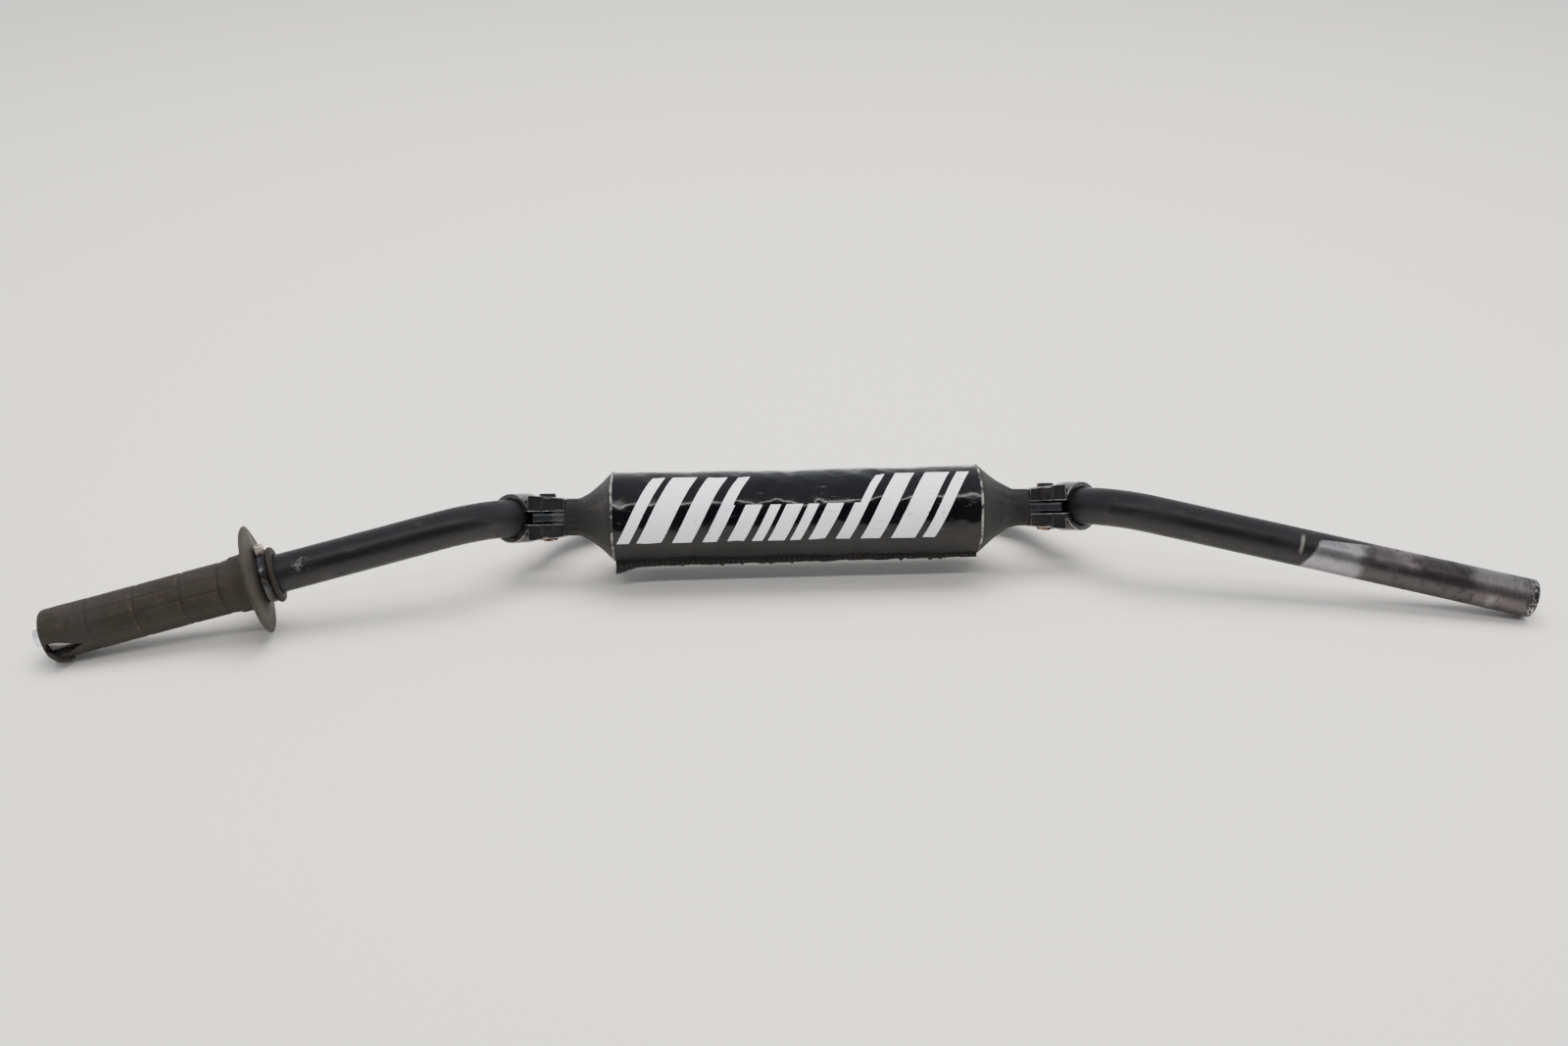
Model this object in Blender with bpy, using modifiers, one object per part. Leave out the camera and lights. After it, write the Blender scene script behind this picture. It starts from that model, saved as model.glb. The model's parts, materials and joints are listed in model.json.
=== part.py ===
"""Off-road motorcycle handlebar lying on a table: bent tube, clamped crossbar with its pad, one grip and a bar-end anchor.

Everything is drawn in the bar's own frame and parented to one empty, which lays the bar down.
Bar frame: +X to the right-hand end, +Y away from the rider, +Z up the risers, origin in the middle of the clamped
section. The empty tips that frame back until the clamped section, the bare right end and the left grip all touch
the table, and moves it so that the origin is under the middle of the whole bar. Units are metres.
"""

import math

import bmesh
import bpy
from mathutils import Matrix, Vector

MM = 0.001
GAP = 0.3 * MM  # left between two pieces that touch

# ---- driving dimensions of the bar -------------------------------------------------------------------------
TUBE_RADIUS = 11.1 * MM
TUBE_WALL = 2.3 * MM
TUBE_SIDES = 24
HALF_WIDTH = 417 * MM
END_RISE = 102 * MM
END_SWEEP = 58 * MM
LOWER_CORNER_X = 130 * MM
UPPER_CORNER_X = 183 * MM
UPPER_CORNER_Z = 76 * MM
LOWER_BEND_RADIUS = 50 * MM
UPPER_BEND_RADIUS = 50 * MM
BEND_STEPS = 8

# ---- crossbar and its two clamps ---------------------------------------------------------------------------
CROSSBAR_Z = 57 * MM
CROSSBAR_RADIUS = 8 * MM
TONGUE_THICKNESS = 5.8 * MM
TONGUE_START_X = 133 * MM
CROSSBAR_ROUND_END_X = 119 * MM
COLLAR_WIDTH = 16 * MM
COLLAR_RADIUS = 14.7 * MM
EAR_TIP_X = 136.6 * MM
EAR_ROOT_X = 158 * MM
EAR_TIP_HALF_HEIGHT = 11.4 * MM
EAR_ROOT_HALF_HEIGHT = 13.6 * MM
EAR_DEPTH = 15 * MM
SLOT_WIDTH = 7.4 * MM
RIB_RADIUS = 6 * MM
RIB_PROUD = 1 * MM
CLAMP_BOLT_X = 147.2 * MM
CLAMP_BOLT_RADIUS = 3 * MM
CLAMP_BOLT_HOLE_RADIUS = 3.4 * MM
BOLT_HEAD_RADIUS = 5 * MM
BOLT_HEAD_HEIGHT = 6 * MM
BOLT_SEAT = 8 * MM  # from the slot's middle plane to the seat of the head, and of the nut
NUT_ACROSS_CORNERS = 11.5 * MM
NUT_HEIGHT = 5 * MM

# ---- pad on the crossbar -----------------------------------------------------------------------------------
PAD_RADIUS = 26 * MM
PAD_HALF_LENGTH = 107 * MM
PAD_SHIFT = -1.4 * MM  # the pad has slid a little to the left
COVER_THICKNESS = 1.2 * MM
FLAP_LENGTH = 4.5 * MM
FLAP_HALF_GAP = 1.3 * MM
NECK_RADIUS = 11 * MM
NECK_END_X = 136 * MM
NECK_START_X = 130 * MM
CAP_THICKNESS = 1.3 * MM
PIPING_RADIUS = 0.8 * MM
FOAM_BORE_RADIUS = 8.6 * MM
PAD_SIDES = 32

# ---- left grip, measured along the tube from its end -------------------------------------------------------
GRIP_RADIUS_END = 14.6 * MM
GRIP_RADIUS_INNER = 15.1 * MM
GRIP_BORE_RADIUS = 11.5 * MM
GRIP_LENGTH = 126 * MM
GRIP_END_WALL_IN = 0.4 * MM
GRIP_END_WALL_OUT = 2.6 * MM
GRIP_END_HOLE_RADIUS = 8.6 * MM
FLANGE_RADIUS = 31 * MM
FLANGE_AT = 114 * MM
TIE_AT = 120.4 * MM

# ---- anchor in the left bar end ----------------------------------------------------------------------------
ANCHOR_WASHER_THICKNESS = 3 * MM
ANCHOR_WASHER_RADIUS = 8.2 * MM
ANCHOR_BOLT_RADIUS = 3 * MM
ANCHOR_BOLT_LENGTH = 40 * MM
ANCHOR_HEAD_ACROSS_CORNERS = 11.5 * MM
ANCHOR_HEAD_HEIGHT = 4.6 * MM
EXPANDER_RADIUS = 8.4 * MM
EXPANDER_LENGTH = 22 * MM
WEDGE_NUT_LENGTH = 15 * MM

LEFT, RIGHT = -1, 1


# ---- scene helpers -----------------------------------------------------------------------------------------
def clear_scene():
    for thing in list(bpy.data.objects):
        bpy.data.objects.remove(thing)


def new_collection(name):
    collection = bpy.data.collections.new(name)
    bpy.context.scene.collection.children.link(collection)
    return collection


def plain_material(name, colour, roughness, metallic=0.0):
    material = bpy.data.materials.new(name)
    material.use_nodes = True
    shader = material.node_tree.nodes["Principled BSDF"]
    shader.inputs["Base Color"].default_value = (*colour, 1.0)
    shader.inputs["Roughness"].default_value = roughness
    shader.inputs["Metallic"].default_value = metallic
    return material


clear_scene()
PARTS = new_collection("handlebar")
CUTTERS = new_collection("cutters")
BAR = bpy.data.objects.new("bar_frame", None)
PARTS.objects.link(BAR)

BLACK_PAINT = plain_material("black_paint", (0.02, 0.02, 0.024), 0.45, 0.3)
CAST_BLACK = plain_material("cast_black", (0.018, 0.018, 0.02), 0.35, 0.4)
ZINC = plain_material("zinc_plate", (0.72, 0.74, 0.76), 0.3, 1.0)
RUSTY_STEEL = plain_material("rusty_steel", (0.2, 0.13, 0.09), 0.7, 0.8)
GREY_FOAM = plain_material("grey_foam", (0.12, 0.12, 0.12), 0.95)
BLACK_VINYL = plain_material("black_vinyl", (0.012, 0.012, 0.015), 0.18)
GREY_NEOPRENE = plain_material("grey_neoprene", (0.035, 0.033, 0.034), 0.75)
PALE_PIPING = plain_material("pale_piping", (0.4, 0.39, 0.37), 0.6)
HOOK_AND_LOOP = plain_material("hook_and_loop", (0.02, 0.02, 0.02), 0.9)
GRIP_RUBBER = plain_material("grip_rubber", (0.075, 0.055, 0.045), 0.75)
BLACK_NYLON = plain_material("black_nylon", (0.012, 0.012, 0.015), 0.25)


def place(thing, collection, location=(0, 0, 0), rotation=None, material=None):
    """Puts an object in the bar frame, and gives it its material."""
    collection.objects.link(thing)
    thing.parent = BAR
    thing.location = location
    if rotation is not None:
        thing.rotation_mode = "QUATERNION"
        thing.rotation_quaternion = rotation
    if material is not None:
        thing.data.materials.clear()
        thing.data.materials.append(material)
    if collection is CUTTERS:
        thing.hide_render = True
        thing.display_type = "WIRE"
    return thing


def aim(direction):
    """The turn that takes an object's +Z to this direction."""
    return Vector(direction).to_track_quat("Z", "Y")


def mesh_object(name, bm):
    mesh = bpy.data.meshes.new(name)
    bm.to_mesh(mesh)
    bm.free()
    return bpy.data.objects.new(name, mesh)


def shade(thing, angle_degrees=35):
    thing.data.shade_smooth()
    thing.data.set_sharp_from_angle(angle=math.radians(angle_degrees))


def cylinder(name, radius, length, sides=24, radius_top=None):
    """A closed cylinder or cone along Z, centred on its origin."""
    bm = bmesh.new()
    top = radius if radius_top is None else radius_top
    bmesh.ops.create_cone(bm, cap_ends=True, segments=sides, radius1=radius, radius2=top, depth=length)
    thing = mesh_object(name, bm)
    shade(thing)
    return thing


def box(name, size):
    bm = bmesh.new()
    bmesh.ops.create_cube(bm, size=1.0, matrix=Matrix.Diagonal((*size, 1.0)))
    return mesh_object(name, bm)


def turned(name, profile, sides=PAD_SIDES, closed=True):
    """A profile of (radius, height) pairs turned about Z. It runs down the outer side."""
    bm = bmesh.new()
    points = [bm.verts.new((radius, 0, height)) for radius, height in profile]
    for first, second in zip(points, points[1:]):
        bm.edges.new((first, second))
    if closed:
        bm.edges.new((points[-1], points[0]))
    thing = mesh_object(name, bm)
    screw = thing.modifiers.new("turn", "SCREW")
    screw.axis = "Z"
    screw.angle = math.tau
    screw.steps = sides
    screw.render_steps = sides
    screw.use_merge_vertices = True
    screw.merge_threshold = 0.00002
    screw.use_smooth_shade = True
    return thing


def evaluated_mesh(thing):
    graph = bpy.context.evaluated_depsgraph_get()
    graph.update()
    return bpy.data.meshes.new_from_object(thing.evaluated_get(graph))


def prism(name, outline, thickness):
    """A flat outline of (x, y) points, given a thickness along Z, as a mesh."""
    curve = bpy.data.curves.new(name, "CURVE")
    curve.dimensions = "2D"
    curve.fill_mode = "BOTH"
    curve.extrude = thickness / 2
    spline = curve.splines.new("POLY")
    spline.points.add(len(outline) - 1)
    for point, (x, y) in zip(spline.points, outline):
        point.co = (x, y, 0, 1)
    spline.use_cyclic_u = True
    flat = bpy.data.objects.new(name + "_outline", curve)
    CUTTERS.objects.link(flat)
    mesh = evaluated_mesh(flat)
    bpy.data.objects.remove(flat)
    bm = bmesh.new()
    bm.from_mesh(mesh)
    bmesh.ops.remove_doubles(bm, verts=bm.verts, dist=0.000001)
    return mesh_object(name, bm)


def combine(target, helper, operation):
    modifier = target.modifiers.new(helper.name, "BOOLEAN")
    modifier.operation = operation
    modifier.object = helper
    return target


def cut(target, cutter, location=(0, 0, 0), rotation=None):
    return combine(target, place(cutter, CUTTERS, location, rotation), "DIFFERENCE")


def add(target, piece, location=(0, 0, 0), rotation=None):
    return combine(target, place(piece, CUTTERS, location, rotation), "UNION")


# ---- centreline of the bar ---------------------------------------------------------------------------------
def fillet(before, corner, after, radius, steps):
    """Points of the arc that rounds a corner between two straight runs."""
    back = (before - corner).normalized()
    on = (after - corner).normalized()
    half = back.angle(on) / 2
    centre = corner + (back + on).normalized() * (radius / math.sin(half))
    start = corner + back * (radius / math.tan(half)) - centre
    end = corner + on * (radius / math.tan(half)) - centre
    return [centre + start.slerp(end, i / steps) * radius / start.slerp(end, i / steps).length
            for i in range(steps + 1)]


def right_half():
    middle = Vector((0, 0, 0))
    lower = Vector((LOWER_CORNER_X, 0, 0))
    upper = Vector((UPPER_CORNER_X, 0, UPPER_CORNER_Z))
    end = Vector((HALF_WIDTH, -END_SWEEP, END_RISE))
    line = fillet(middle, lower, upper, LOWER_BEND_RADIUS, BEND_STEPS)
    line += fillet(lower, upper, end, UPPER_BEND_RADIUS, BEND_STEPS)
    return [*line, end]


def mirrored(point):
    return Vector((-point.x, point.y, point.z))


RIGHT_LINE = right_half()
BAR_LINE = [mirrored(p) for p in reversed(RIGHT_LINE)] + RIGHT_LINE
RISER_TOP = RIGHT_LINE[BEND_STEPS + 1]  # where the upper bend begins
RISER = (RISER_TOP - RIGHT_LINE[BEND_STEPS]).normalized()
RIGHT_OUTWARD = (RIGHT_LINE[-1] - RIGHT_LINE[-2]).normalized()
LEFT_END = mirrored(RIGHT_LINE[-1])
LEFT_OUTWARD = mirrored(RIGHT_OUTWARD)


def riser_direction(side):
    return Vector((side * RISER.x, RISER.y, RISER.z))


def collar_centre(side):
    """The collar's upper face is where the upper bend begins."""
    centre = RISER_TOP - RISER * (COLLAR_WIDTH / 2 + GAP)
    return Vector((side * centre.x, centre.y, centre.z))


# ---- the bar's tube ----------------------------------------------------------------------------------------
def make_bar_tube():
    curve = bpy.data.curves.new("bar_tube", "CURVE")
    curve.dimensions = "3D"
    curve.twist_mode = "Z_UP"
    curve.bevel_depth = TUBE_RADIUS
    curve.bevel_resolution = (TUBE_SIDES - 4) // 2
    spline = curve.splines.new("POLY")
    spline.points.add(len(BAR_LINE) - 1)
    for point, place_on_line in zip(spline.points, BAR_LINE):
        point.co = (*place_on_line, 1)
        point.tilt = math.pi / TUBE_SIDES  # a flat facet, not an edge, faces straight up
    swept = bpy.data.objects.new("bar_sweep", curve)
    CUTTERS.objects.link(swept)
    tube = bpy.data.objects.new("bar_tube", evaluated_mesh(swept))
    bpy.data.objects.remove(swept)
    place(tube, PARTS, material=BLACK_PAINT)
    wall = tube.modifiers.new("wall", "SOLIDIFY")
    wall.thickness = TUBE_WALL
    wall.offset = -1
    wall.use_even_offset = True
    shade(tube)
    return tube


# ---- crossbar ----------------------------------------------------------------------------------------------
def crossbar_section(flatness, sides=24):
    """Round at flatness 0, and a flat bar with rounded corners at flatness 1."""
    half_thickness = CROSSBAR_RADIUS + (TONGUE_THICKNESS / 2 - CROSSBAR_RADIUS) * flatness
    power = 2 / (2 + 4 * flatness)
    section = []
    for i in range(sides):
        angle = math.tau * (i + 0.5) / sides
        y = math.copysign(abs(math.cos(angle)) ** power, math.cos(angle)) * half_thickness
        z = math.copysign(abs(math.sin(angle)) ** power, math.sin(angle)) * CROSSBAR_RADIUS
        section.append((y, z))
    return section


def make_crossbar():
    """A round bar whose ends are flattened into tongues, lofted from end to end."""
    tip_x = CLAMP_BOLT_X + CROSSBAR_RADIUS
    flattening = 4
    right = [(0, CROSSBAR_ROUND_END_X)]
    for i in range(1, flattening + 1):
        share = i / flattening
        x = CROSSBAR_ROUND_END_X + (TONGUE_START_X - CROSSBAR_ROUND_END_X) * share
        right.append((share * share * (3 - 2 * share), x))
    right.append((1, tip_x))
    stations = [(flatness, -x) for flatness, x in reversed(right)] + right
    bm = bmesh.new()
    rings = []
    for flatness, x in stations:
        rings.append([bm.verts.new((x, y, z)) for y, z in crossbar_section(flatness)])
    for first, second in zip(rings, rings[1:]):
        for i, corner in enumerate(first):
            after = (i + 1) % len(first)
            bm.faces.new((corner, first[after], second[after], second[i]))
    bm.faces.new(reversed(rings[0]))
    bm.faces.new(rings[-1])
    bmesh.ops.recalc_face_normals(bm, faces=bm.faces)
    crossbar = place(mesh_object("crossbar", bm), PARTS, (0, 0, CROSSBAR_Z), material=BLACK_PAINT)
    shade(crossbar)
    for side in (LEFT, RIGHT):
        where = "left" if side == LEFT else "right"
        cut(crossbar, cylinder(f"{where}_tongue_hole", CLAMP_BOLT_HOLE_RADIUS, 3 * TONGUE_THICKNESS, 16),
            (side * CLAMP_BOLT_X, 0, CROSSBAR_Z), aim((0, 1, 0)))
        cut(crossbar, cylinder(f"{where}_tongue_end", TUBE_RADIUS + 2 * GAP, 4 * COLLAR_WIDTH, 32),
            collar_centre(side), aim(riser_direction(side)))
    return crossbar


# ---- crossbar clamps ---------------------------------------------------------------------------------------
def ear_outline(side):
    return [(side * EAR_TIP_X, EAR_TIP_HALF_HEIGHT), (side * EAR_ROOT_X, EAR_ROOT_HALF_HEIGHT),
            (side * EAR_ROOT_X, -EAR_ROOT_HALF_HEIGHT), (side * EAR_TIP_X, -EAR_TIP_HALF_HEIGHT)]


def make_clamp(side):
    """A collar split towards the crossbar, with an ear above and below the slot and a rib over the bolt."""
    where = "left" if side == LEFT else "right"
    centre = collar_centre(side)
    along = aim(riser_direction(side))
    crosswise = aim((0, 1, 0))
    bolt = Vector((side * CLAMP_BOLT_X, 0, CROSSBAR_Z))
    rib_z = CROSSBAR_Z + EAR_DEPTH / 2 + RIB_PROUD - RIB_RADIUS
    rib = Vector((side * CLAMP_BOLT_X, 0, rib_z))

    clamp = place(cylinder(f"{where}_crossbar_clamp", COLLAR_RADIUS, COLLAR_WIDTH, 32), PARTS,
                  centre, along, CAST_BLACK)
    add(clamp, prism(f"{where}_ears", ear_outline(side), EAR_DEPTH), (0, 0, CROSSBAR_Z))
    add(clamp, cylinder(f"{where}_rib", RIB_RADIUS, 2 * EAR_TIP_HALF_HEIGHT + MM, 20), rib, crosswise)
    cut(clamp, cylinder(f"{where}_bore", TUBE_RADIUS + GAP, 5 * COLLAR_WIDTH, 32), centre, along)
    slot = box(f"{where}_slot", (2 * COLLAR_WIDTH, SLOT_WIDTH, 4 * COLLAR_WIDTH))
    cut(clamp, slot, Vector((side * (EAR_TIP_X + COLLAR_WIDTH - MM), 0, CROSSBAR_Z)))
    cut(clamp, cylinder(f"{where}_bolt_hole", CLAMP_BOLT_HOLE_RADIUS, 60 * MM, 16), bolt, crosswise)
    recess = 20 * MM
    cut(clamp, cylinder(f"{where}_head_recess", BOLT_HEAD_RADIUS + 0.5 * MM, recess, 20),
        bolt + Vector((0, BOLT_SEAT + recess / 2, 0)), crosswise)
    cut(clamp, cylinder(f"{where}_nut_recess", NUT_ACROSS_CORNERS / 2 + 0.4 * MM, recess, 6),
        bolt - Vector((0, BOLT_SEAT + recess / 2, 0)), crosswise)
    return clamp


def make_clamp_bolt(side):
    """A socket head screw whose head is sunk in the upper ear."""
    where = "left" if side == LEFT else "right"
    seat = BOLT_SEAT + GAP
    foot = -(BOLT_SEAT + GAP + NUT_HEIGHT + MM)
    profile = [(0, seat + BOLT_HEAD_HEIGHT), (BOLT_HEAD_RADIUS - 0.6 * MM, seat + BOLT_HEAD_HEIGHT),
               (BOLT_HEAD_RADIUS, seat + BOLT_HEAD_HEIGHT - 0.6 * MM), (BOLT_HEAD_RADIUS, seat),
               (CLAMP_BOLT_RADIUS, seat), (CLAMP_BOLT_RADIUS, foot + 0.5 * MM),
               (CLAMP_BOLT_RADIUS - 0.5 * MM, foot), (0, foot)]
    bolt = turned(f"{where}_clamp_bolt", profile, 16, closed=False)
    centre = (side * CLAMP_BOLT_X, 0, CROSSBAR_Z)
    crosswise = aim((0, 1, 0))
    place(bolt, PARTS, centre, crosswise, CAST_BLACK)
    socket_depth = 3 * MM
    socket = cylinder(f"{where}_hex_socket", 2.9 * MM, 2 * socket_depth, 6)
    cut(bolt, socket, (side * CLAMP_BOLT_X, seat + BOLT_HEAD_HEIGHT, CROSSBAR_Z), crosswise)
    return bolt


def make_clamp_nut(side):
    where = "left" if side == LEFT else "right"
    nut = cylinder(f"{where}_clamp_nut", NUT_ACROSS_CORNERS / 2, NUT_HEIGHT, 6)
    centre = Vector((side * CLAMP_BOLT_X, -(BOLT_SEAT + GAP + NUT_HEIGHT / 2), CROSSBAR_Z))
    crosswise = aim((0, 1, 0))
    place(nut, PARTS, centre, crosswise, RUSTY_STEEL)
    cut(nut, cylinder(f"{where}_nut_thread", CLAMP_BOLT_RADIUS + GAP, 3 * NUT_HEIGHT, 16), centre, crosswise)
    return nut


# ---- pad ---------------------------------------------------------------------------------------------------
ALONG_X = aim((1, 0, 0))
ALONG_MINUS_X = aim((-1, 0, 0))
CROSSBAR_MIDDLE = (0, 0, CROSSBAR_Z)
PAD_MIDDLE = (PAD_SHIFT, 0, CROSSBAR_Z)


def make_foam_core():
    """A foam tube, slit along the rider's side so that it can be pressed onto the crossbar."""
    radius = PAD_RADIUS - COVER_THICKNESS - GAP
    half = PAD_HALF_LENGTH - 1.5 * MM
    profile = [(radius, half), (radius, -half), (FOAM_BORE_RADIUS, -half), (FOAM_BORE_RADIUS, half)]
    foam = place(turned("pad_foam_core", profile), PARTS, PAD_MIDDLE, ALONG_X, GREY_FOAM)
    slit = box("foam_slit", (3 * PAD_HALF_LENGTH, PAD_RADIUS, 1.6 * MM))
    return cut(foam, slit, (PAD_SHIFT, -FOAM_BORE_RADIUS - PAD_RADIUS / 2 + 2 * MM, CROSSBAR_Z))


def cover_section():
    """The outside of the cover seen along the crossbar: a round whose two edges turn out into a flap."""
    flap_z = FLAP_HALF_GAP + COVER_THICKNESS
    tip_y = -(PAD_RADIUS + FLAP_LENGTH)
    root_angle = math.asin((flap_z + 2 * MM) / PAD_RADIUS)
    root_y = -PAD_RADIUS * math.cos(root_angle) - 1.2 * MM
    section = [(tip_y, flap_z), (root_y, flap_z)]
    turns = PAD_SIDES
    for i in range(turns + 1):
        angle = root_angle + (math.tau - 2 * root_angle) * i / turns
        section.append((-PAD_RADIUS * math.cos(angle), PAD_RADIUS * math.sin(angle)))
    return [*section, (root_y, -flap_z), (tip_y, -flap_z)]


def make_cover():
    """One sheet of vinyl round the foam: an open strip swept along the crossbar and thickened inwards."""
    half = PAD_HALF_LENGTH - PIPING_RADIUS - GAP
    bm = bmesh.new()
    ends = []
    for x in (-half, half):
        ends.append([bm.verts.new((x, y, z)) for y, z in cover_section()])
    for i in range(len(ends[0]) - 1):
        bm.faces.new((ends[0][i], ends[1][i], ends[1][i + 1], ends[0][i + 1]))
    cover = place(mesh_object("pad_cover", bm), PARTS, PAD_MIDDLE, material=BLACK_VINYL)
    thickness = cover.modifiers.new("sheet", "SOLIDIFY")
    thickness.thickness = COVER_THICKNESS
    thickness.offset = -1
    thickness.use_even_offset = True
    shade(cover)
    return cover


def make_fastening(name, side_of_seam):
    """One half of the hook-and-loop fastening that closes the flap."""
    thickness = FLAP_HALF_GAP - 1.5 * GAP
    length = 2 * (PAD_HALF_LENGTH - 4 * MM)
    strip = box(name, (length, FLAP_LENGTH - 0.6 * MM, thickness))
    y = -(PAD_RADIUS + FLAP_LENGTH / 2)
    z = CROSSBAR_Z + side_of_seam * (GAP / 2 + thickness / 2)
    return place(strip, PARTS, (PAD_SHIFT, y, z), material=HOOK_AND_LOOP)


def cap_profile(side):
    """From the piping at the pad's end down to the neck on the crossbar, hollow-sided like a bell."""
    start = PAD_HALF_LENGTH + side * PAD_SHIFT + PIPING_RADIUS + GAP
    steps = 7
    outer = []
    for i in range(steps + 1):
        share = i / steps
        radius = NECK_RADIUS + (PAD_RADIUS - NECK_RADIUS) * (1 - share) ** 1.55
        outer.append((radius, start + (NECK_START_X - start) * share))
    outer.append((NECK_RADIUS, NECK_END_X))
    inner = [(radius - CAP_THICKNESS, x) for radius, x in outer]
    return [*reversed(outer), *inner]


def make_end_cap(side):
    where = "left" if side == LEFT else "right"
    cap = turned(f"pad_{where}_end_cap", cap_profile(side))
    return place(cap, PARTS, CROSSBAR_MIDDLE, ALONG_X if side == RIGHT else ALONG_MINUS_X, GREY_NEOPRENE)


def make_piping(side):
    where = "left" if side == LEFT else "right"
    ring = PAD_RADIUS - PIPING_RADIUS
    profile = [(ring + PIPING_RADIUS * math.cos(a), -PIPING_RADIUS * math.sin(a))
               for a in (math.tau * i / 8 for i in range(8))]
    piping = turned(f"pad_{where}_piping", profile)
    return place(piping, PARTS, (side * PAD_HALF_LENGTH + PAD_SHIFT, 0, CROSSBAR_Z), ALONG_X, PALE_PIPING)


def make_neck_elastic(side):
    where = "left" if side == LEFT else "right"
    outer = NECK_RADIUS - CAP_THICKNESS - GAP
    inner = FOAM_BORE_RADIUS
    half = 2 * MM
    elastic = turned(f"pad_{where}_neck_elastic", [(outer, half), (outer, -half), (inner, -half), (inner, half)], 24)
    x = side * (NECK_END_X - half - MM)
    return place(elastic, PARTS, (x, 0, CROSSBAR_Z), ALONG_X, HOOK_AND_LOOP)


# ---- grip and its cable tie --------------------------------------------------------------------------------
LEFT_TURN = aim(LEFT_OUTWARD)
TORN_SIDE = Vector((0, -0.73, 0.68))  # towards the rider and up


def beside_left_end(depth, offset=Vector((0, 0, 0))):
    """A point this far into the left end of the tube, moved off its axis."""
    return LEFT_END - LEFT_OUTWARD * depth + offset


def grip_profile():
    step_at = 101 * MM
    rim = 1.3 * MM
    root = 4.5 * MM
    hub_radius = 13.4 * MM
    lip_radius = 16.2 * MM
    lip_start = GRIP_LENGTH - 3.2 * MM
    outer = [
        (GRIP_END_HOLE_RADIUS, GRIP_END_WALL_OUT),
        (GRIP_RADIUS_END - 2 * MM, GRIP_END_WALL_OUT),
        (GRIP_RADIUS_END - 0.4 * MM, GRIP_END_WALL_OUT - MM),
        (GRIP_RADIUS_END, GRIP_END_WALL_OUT - 2.6 * MM),
        (GRIP_RADIUS_INNER, -step_at),
        (GRIP_RADIUS_INNER + MM, -step_at - 2 * MM),
        (GRIP_RADIUS_INNER + 1.2 * MM, -FLANGE_AT + root + 2 * MM),
        (GRIP_RADIUS_INNER + root, -FLANGE_AT + 3 * MM),
        (FLANGE_RADIUS - 1.2 * MM, -FLANGE_AT + rim),
        (FLANGE_RADIUS, -FLANGE_AT + rim / 2),
        (FLANGE_RADIUS, -FLANGE_AT - rim / 2),
        (FLANGE_RADIUS - 1.2 * MM, -FLANGE_AT - rim),
        (hub_radius + 1.6 * MM, -FLANGE_AT - 3 * MM),
        (hub_radius, -FLANGE_AT - 3.4 * MM),
        (hub_radius, -lip_start),
        (lip_radius - 0.4 * MM, -lip_start),
        (lip_radius, -lip_start - 1.2 * MM),
        (lip_radius - 0.9 * MM, -GRIP_LENGTH),
    ]
    inner = [
        (GRIP_BORE_RADIUS, -GRIP_LENGTH),
        (GRIP_BORE_RADIUS, GRIP_END_WALL_IN),
        (GRIP_END_HOLE_RADIUS, GRIP_END_WALL_IN),
    ]
    return outer + inner


def make_grip():
    """A flanged rubber sleeve, worn open at its outer end and torn there on one side."""
    grip = place(turned("left_grip", grip_profile()), PARTS, LEFT_END, LEFT_TURN, GRIP_RUBBER)
    tear_length = 24 * MM
    tear = cylinder("grip_tear", 0.2 * MM, tear_length, 12, radius_top=5.5 * MM)
    return cut(grip, tear, beside_left_end(tear_length / 2 - 7 * MM, TORN_SIDE * 14 * MM), LEFT_TURN)


def make_cable_tie():
    """A nylon strap pulled tight in the groove behind the flange, with its square head on top."""
    half = 2.2 * MM
    inner = 13.8 * MM
    outer = 15 * MM
    centre = beside_left_end(TIE_AT)
    tie = turned("grip_cable_tie", [(outer, half), (outer, -half), (inner, -half), (inner, half)])
    place(tie, PARTS, centre, LEFT_TURN, BLACK_NYLON)
    upward = Vector((0, 0.94, 0.34))
    upward = (upward - LEFT_OUTWARD * upward.dot(LEFT_OUTWARD)).normalized()
    head = box("tie_head", (5 * MM, 6.6 * MM, 4.8 * MM))
    sideways = upward.cross(LEFT_OUTWARD)
    turn = Matrix((sideways, LEFT_OUTWARD.cross(sideways) * -1, LEFT_OUTWARD)).transposed().to_quaternion()
    return add(tie, head, centre + upward * (inner + 2.9 * MM), turn)


# ---- anchor in the left bar end ----------------------------------------------------------------------------
def make_anchor_washer():
    near, far = GAP, GAP + ANCHOR_WASHER_THICKNESS
    inner = ANCHOR_BOLT_RADIUS + 0.4 * MM
    outer = ANCHOR_WASHER_RADIUS
    washer = turned("anchor_washer", [(outer, far), (outer, near), (inner, near), (inner, far)], 24)
    return place(washer, PARTS, LEFT_END, LEFT_TURN, ZINC)


def make_anchor_bolt():
    """A hexagon head bolt along the tube, its head proud of the grip's worn end."""
    seat = 2 * GAP + ANCHOR_WASHER_THICKNESS
    head = cylinder("anchor_bolt", ANCHOR_HEAD_ACROSS_CORNERS / 2, ANCHOR_HEAD_HEIGHT, 6)
    place(head, PARTS, beside_left_end(-seat - ANCHOR_HEAD_HEIGHT / 2), LEFT_TURN, ZINC)
    edge = head.modifiers.new("worn_corners", "BEVEL")
    edge.width = 0.4 * MM
    edge.segments = 1
    overlap = MM
    shank = cylinder("anchor_shank", ANCHOR_BOLT_RADIUS, ANCHOR_BOLT_LENGTH, 24)
    return add(head, shank, beside_left_end(ANCHOR_BOLT_LENGTH / 2 - seat - overlap), LEFT_TURN)


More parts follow.
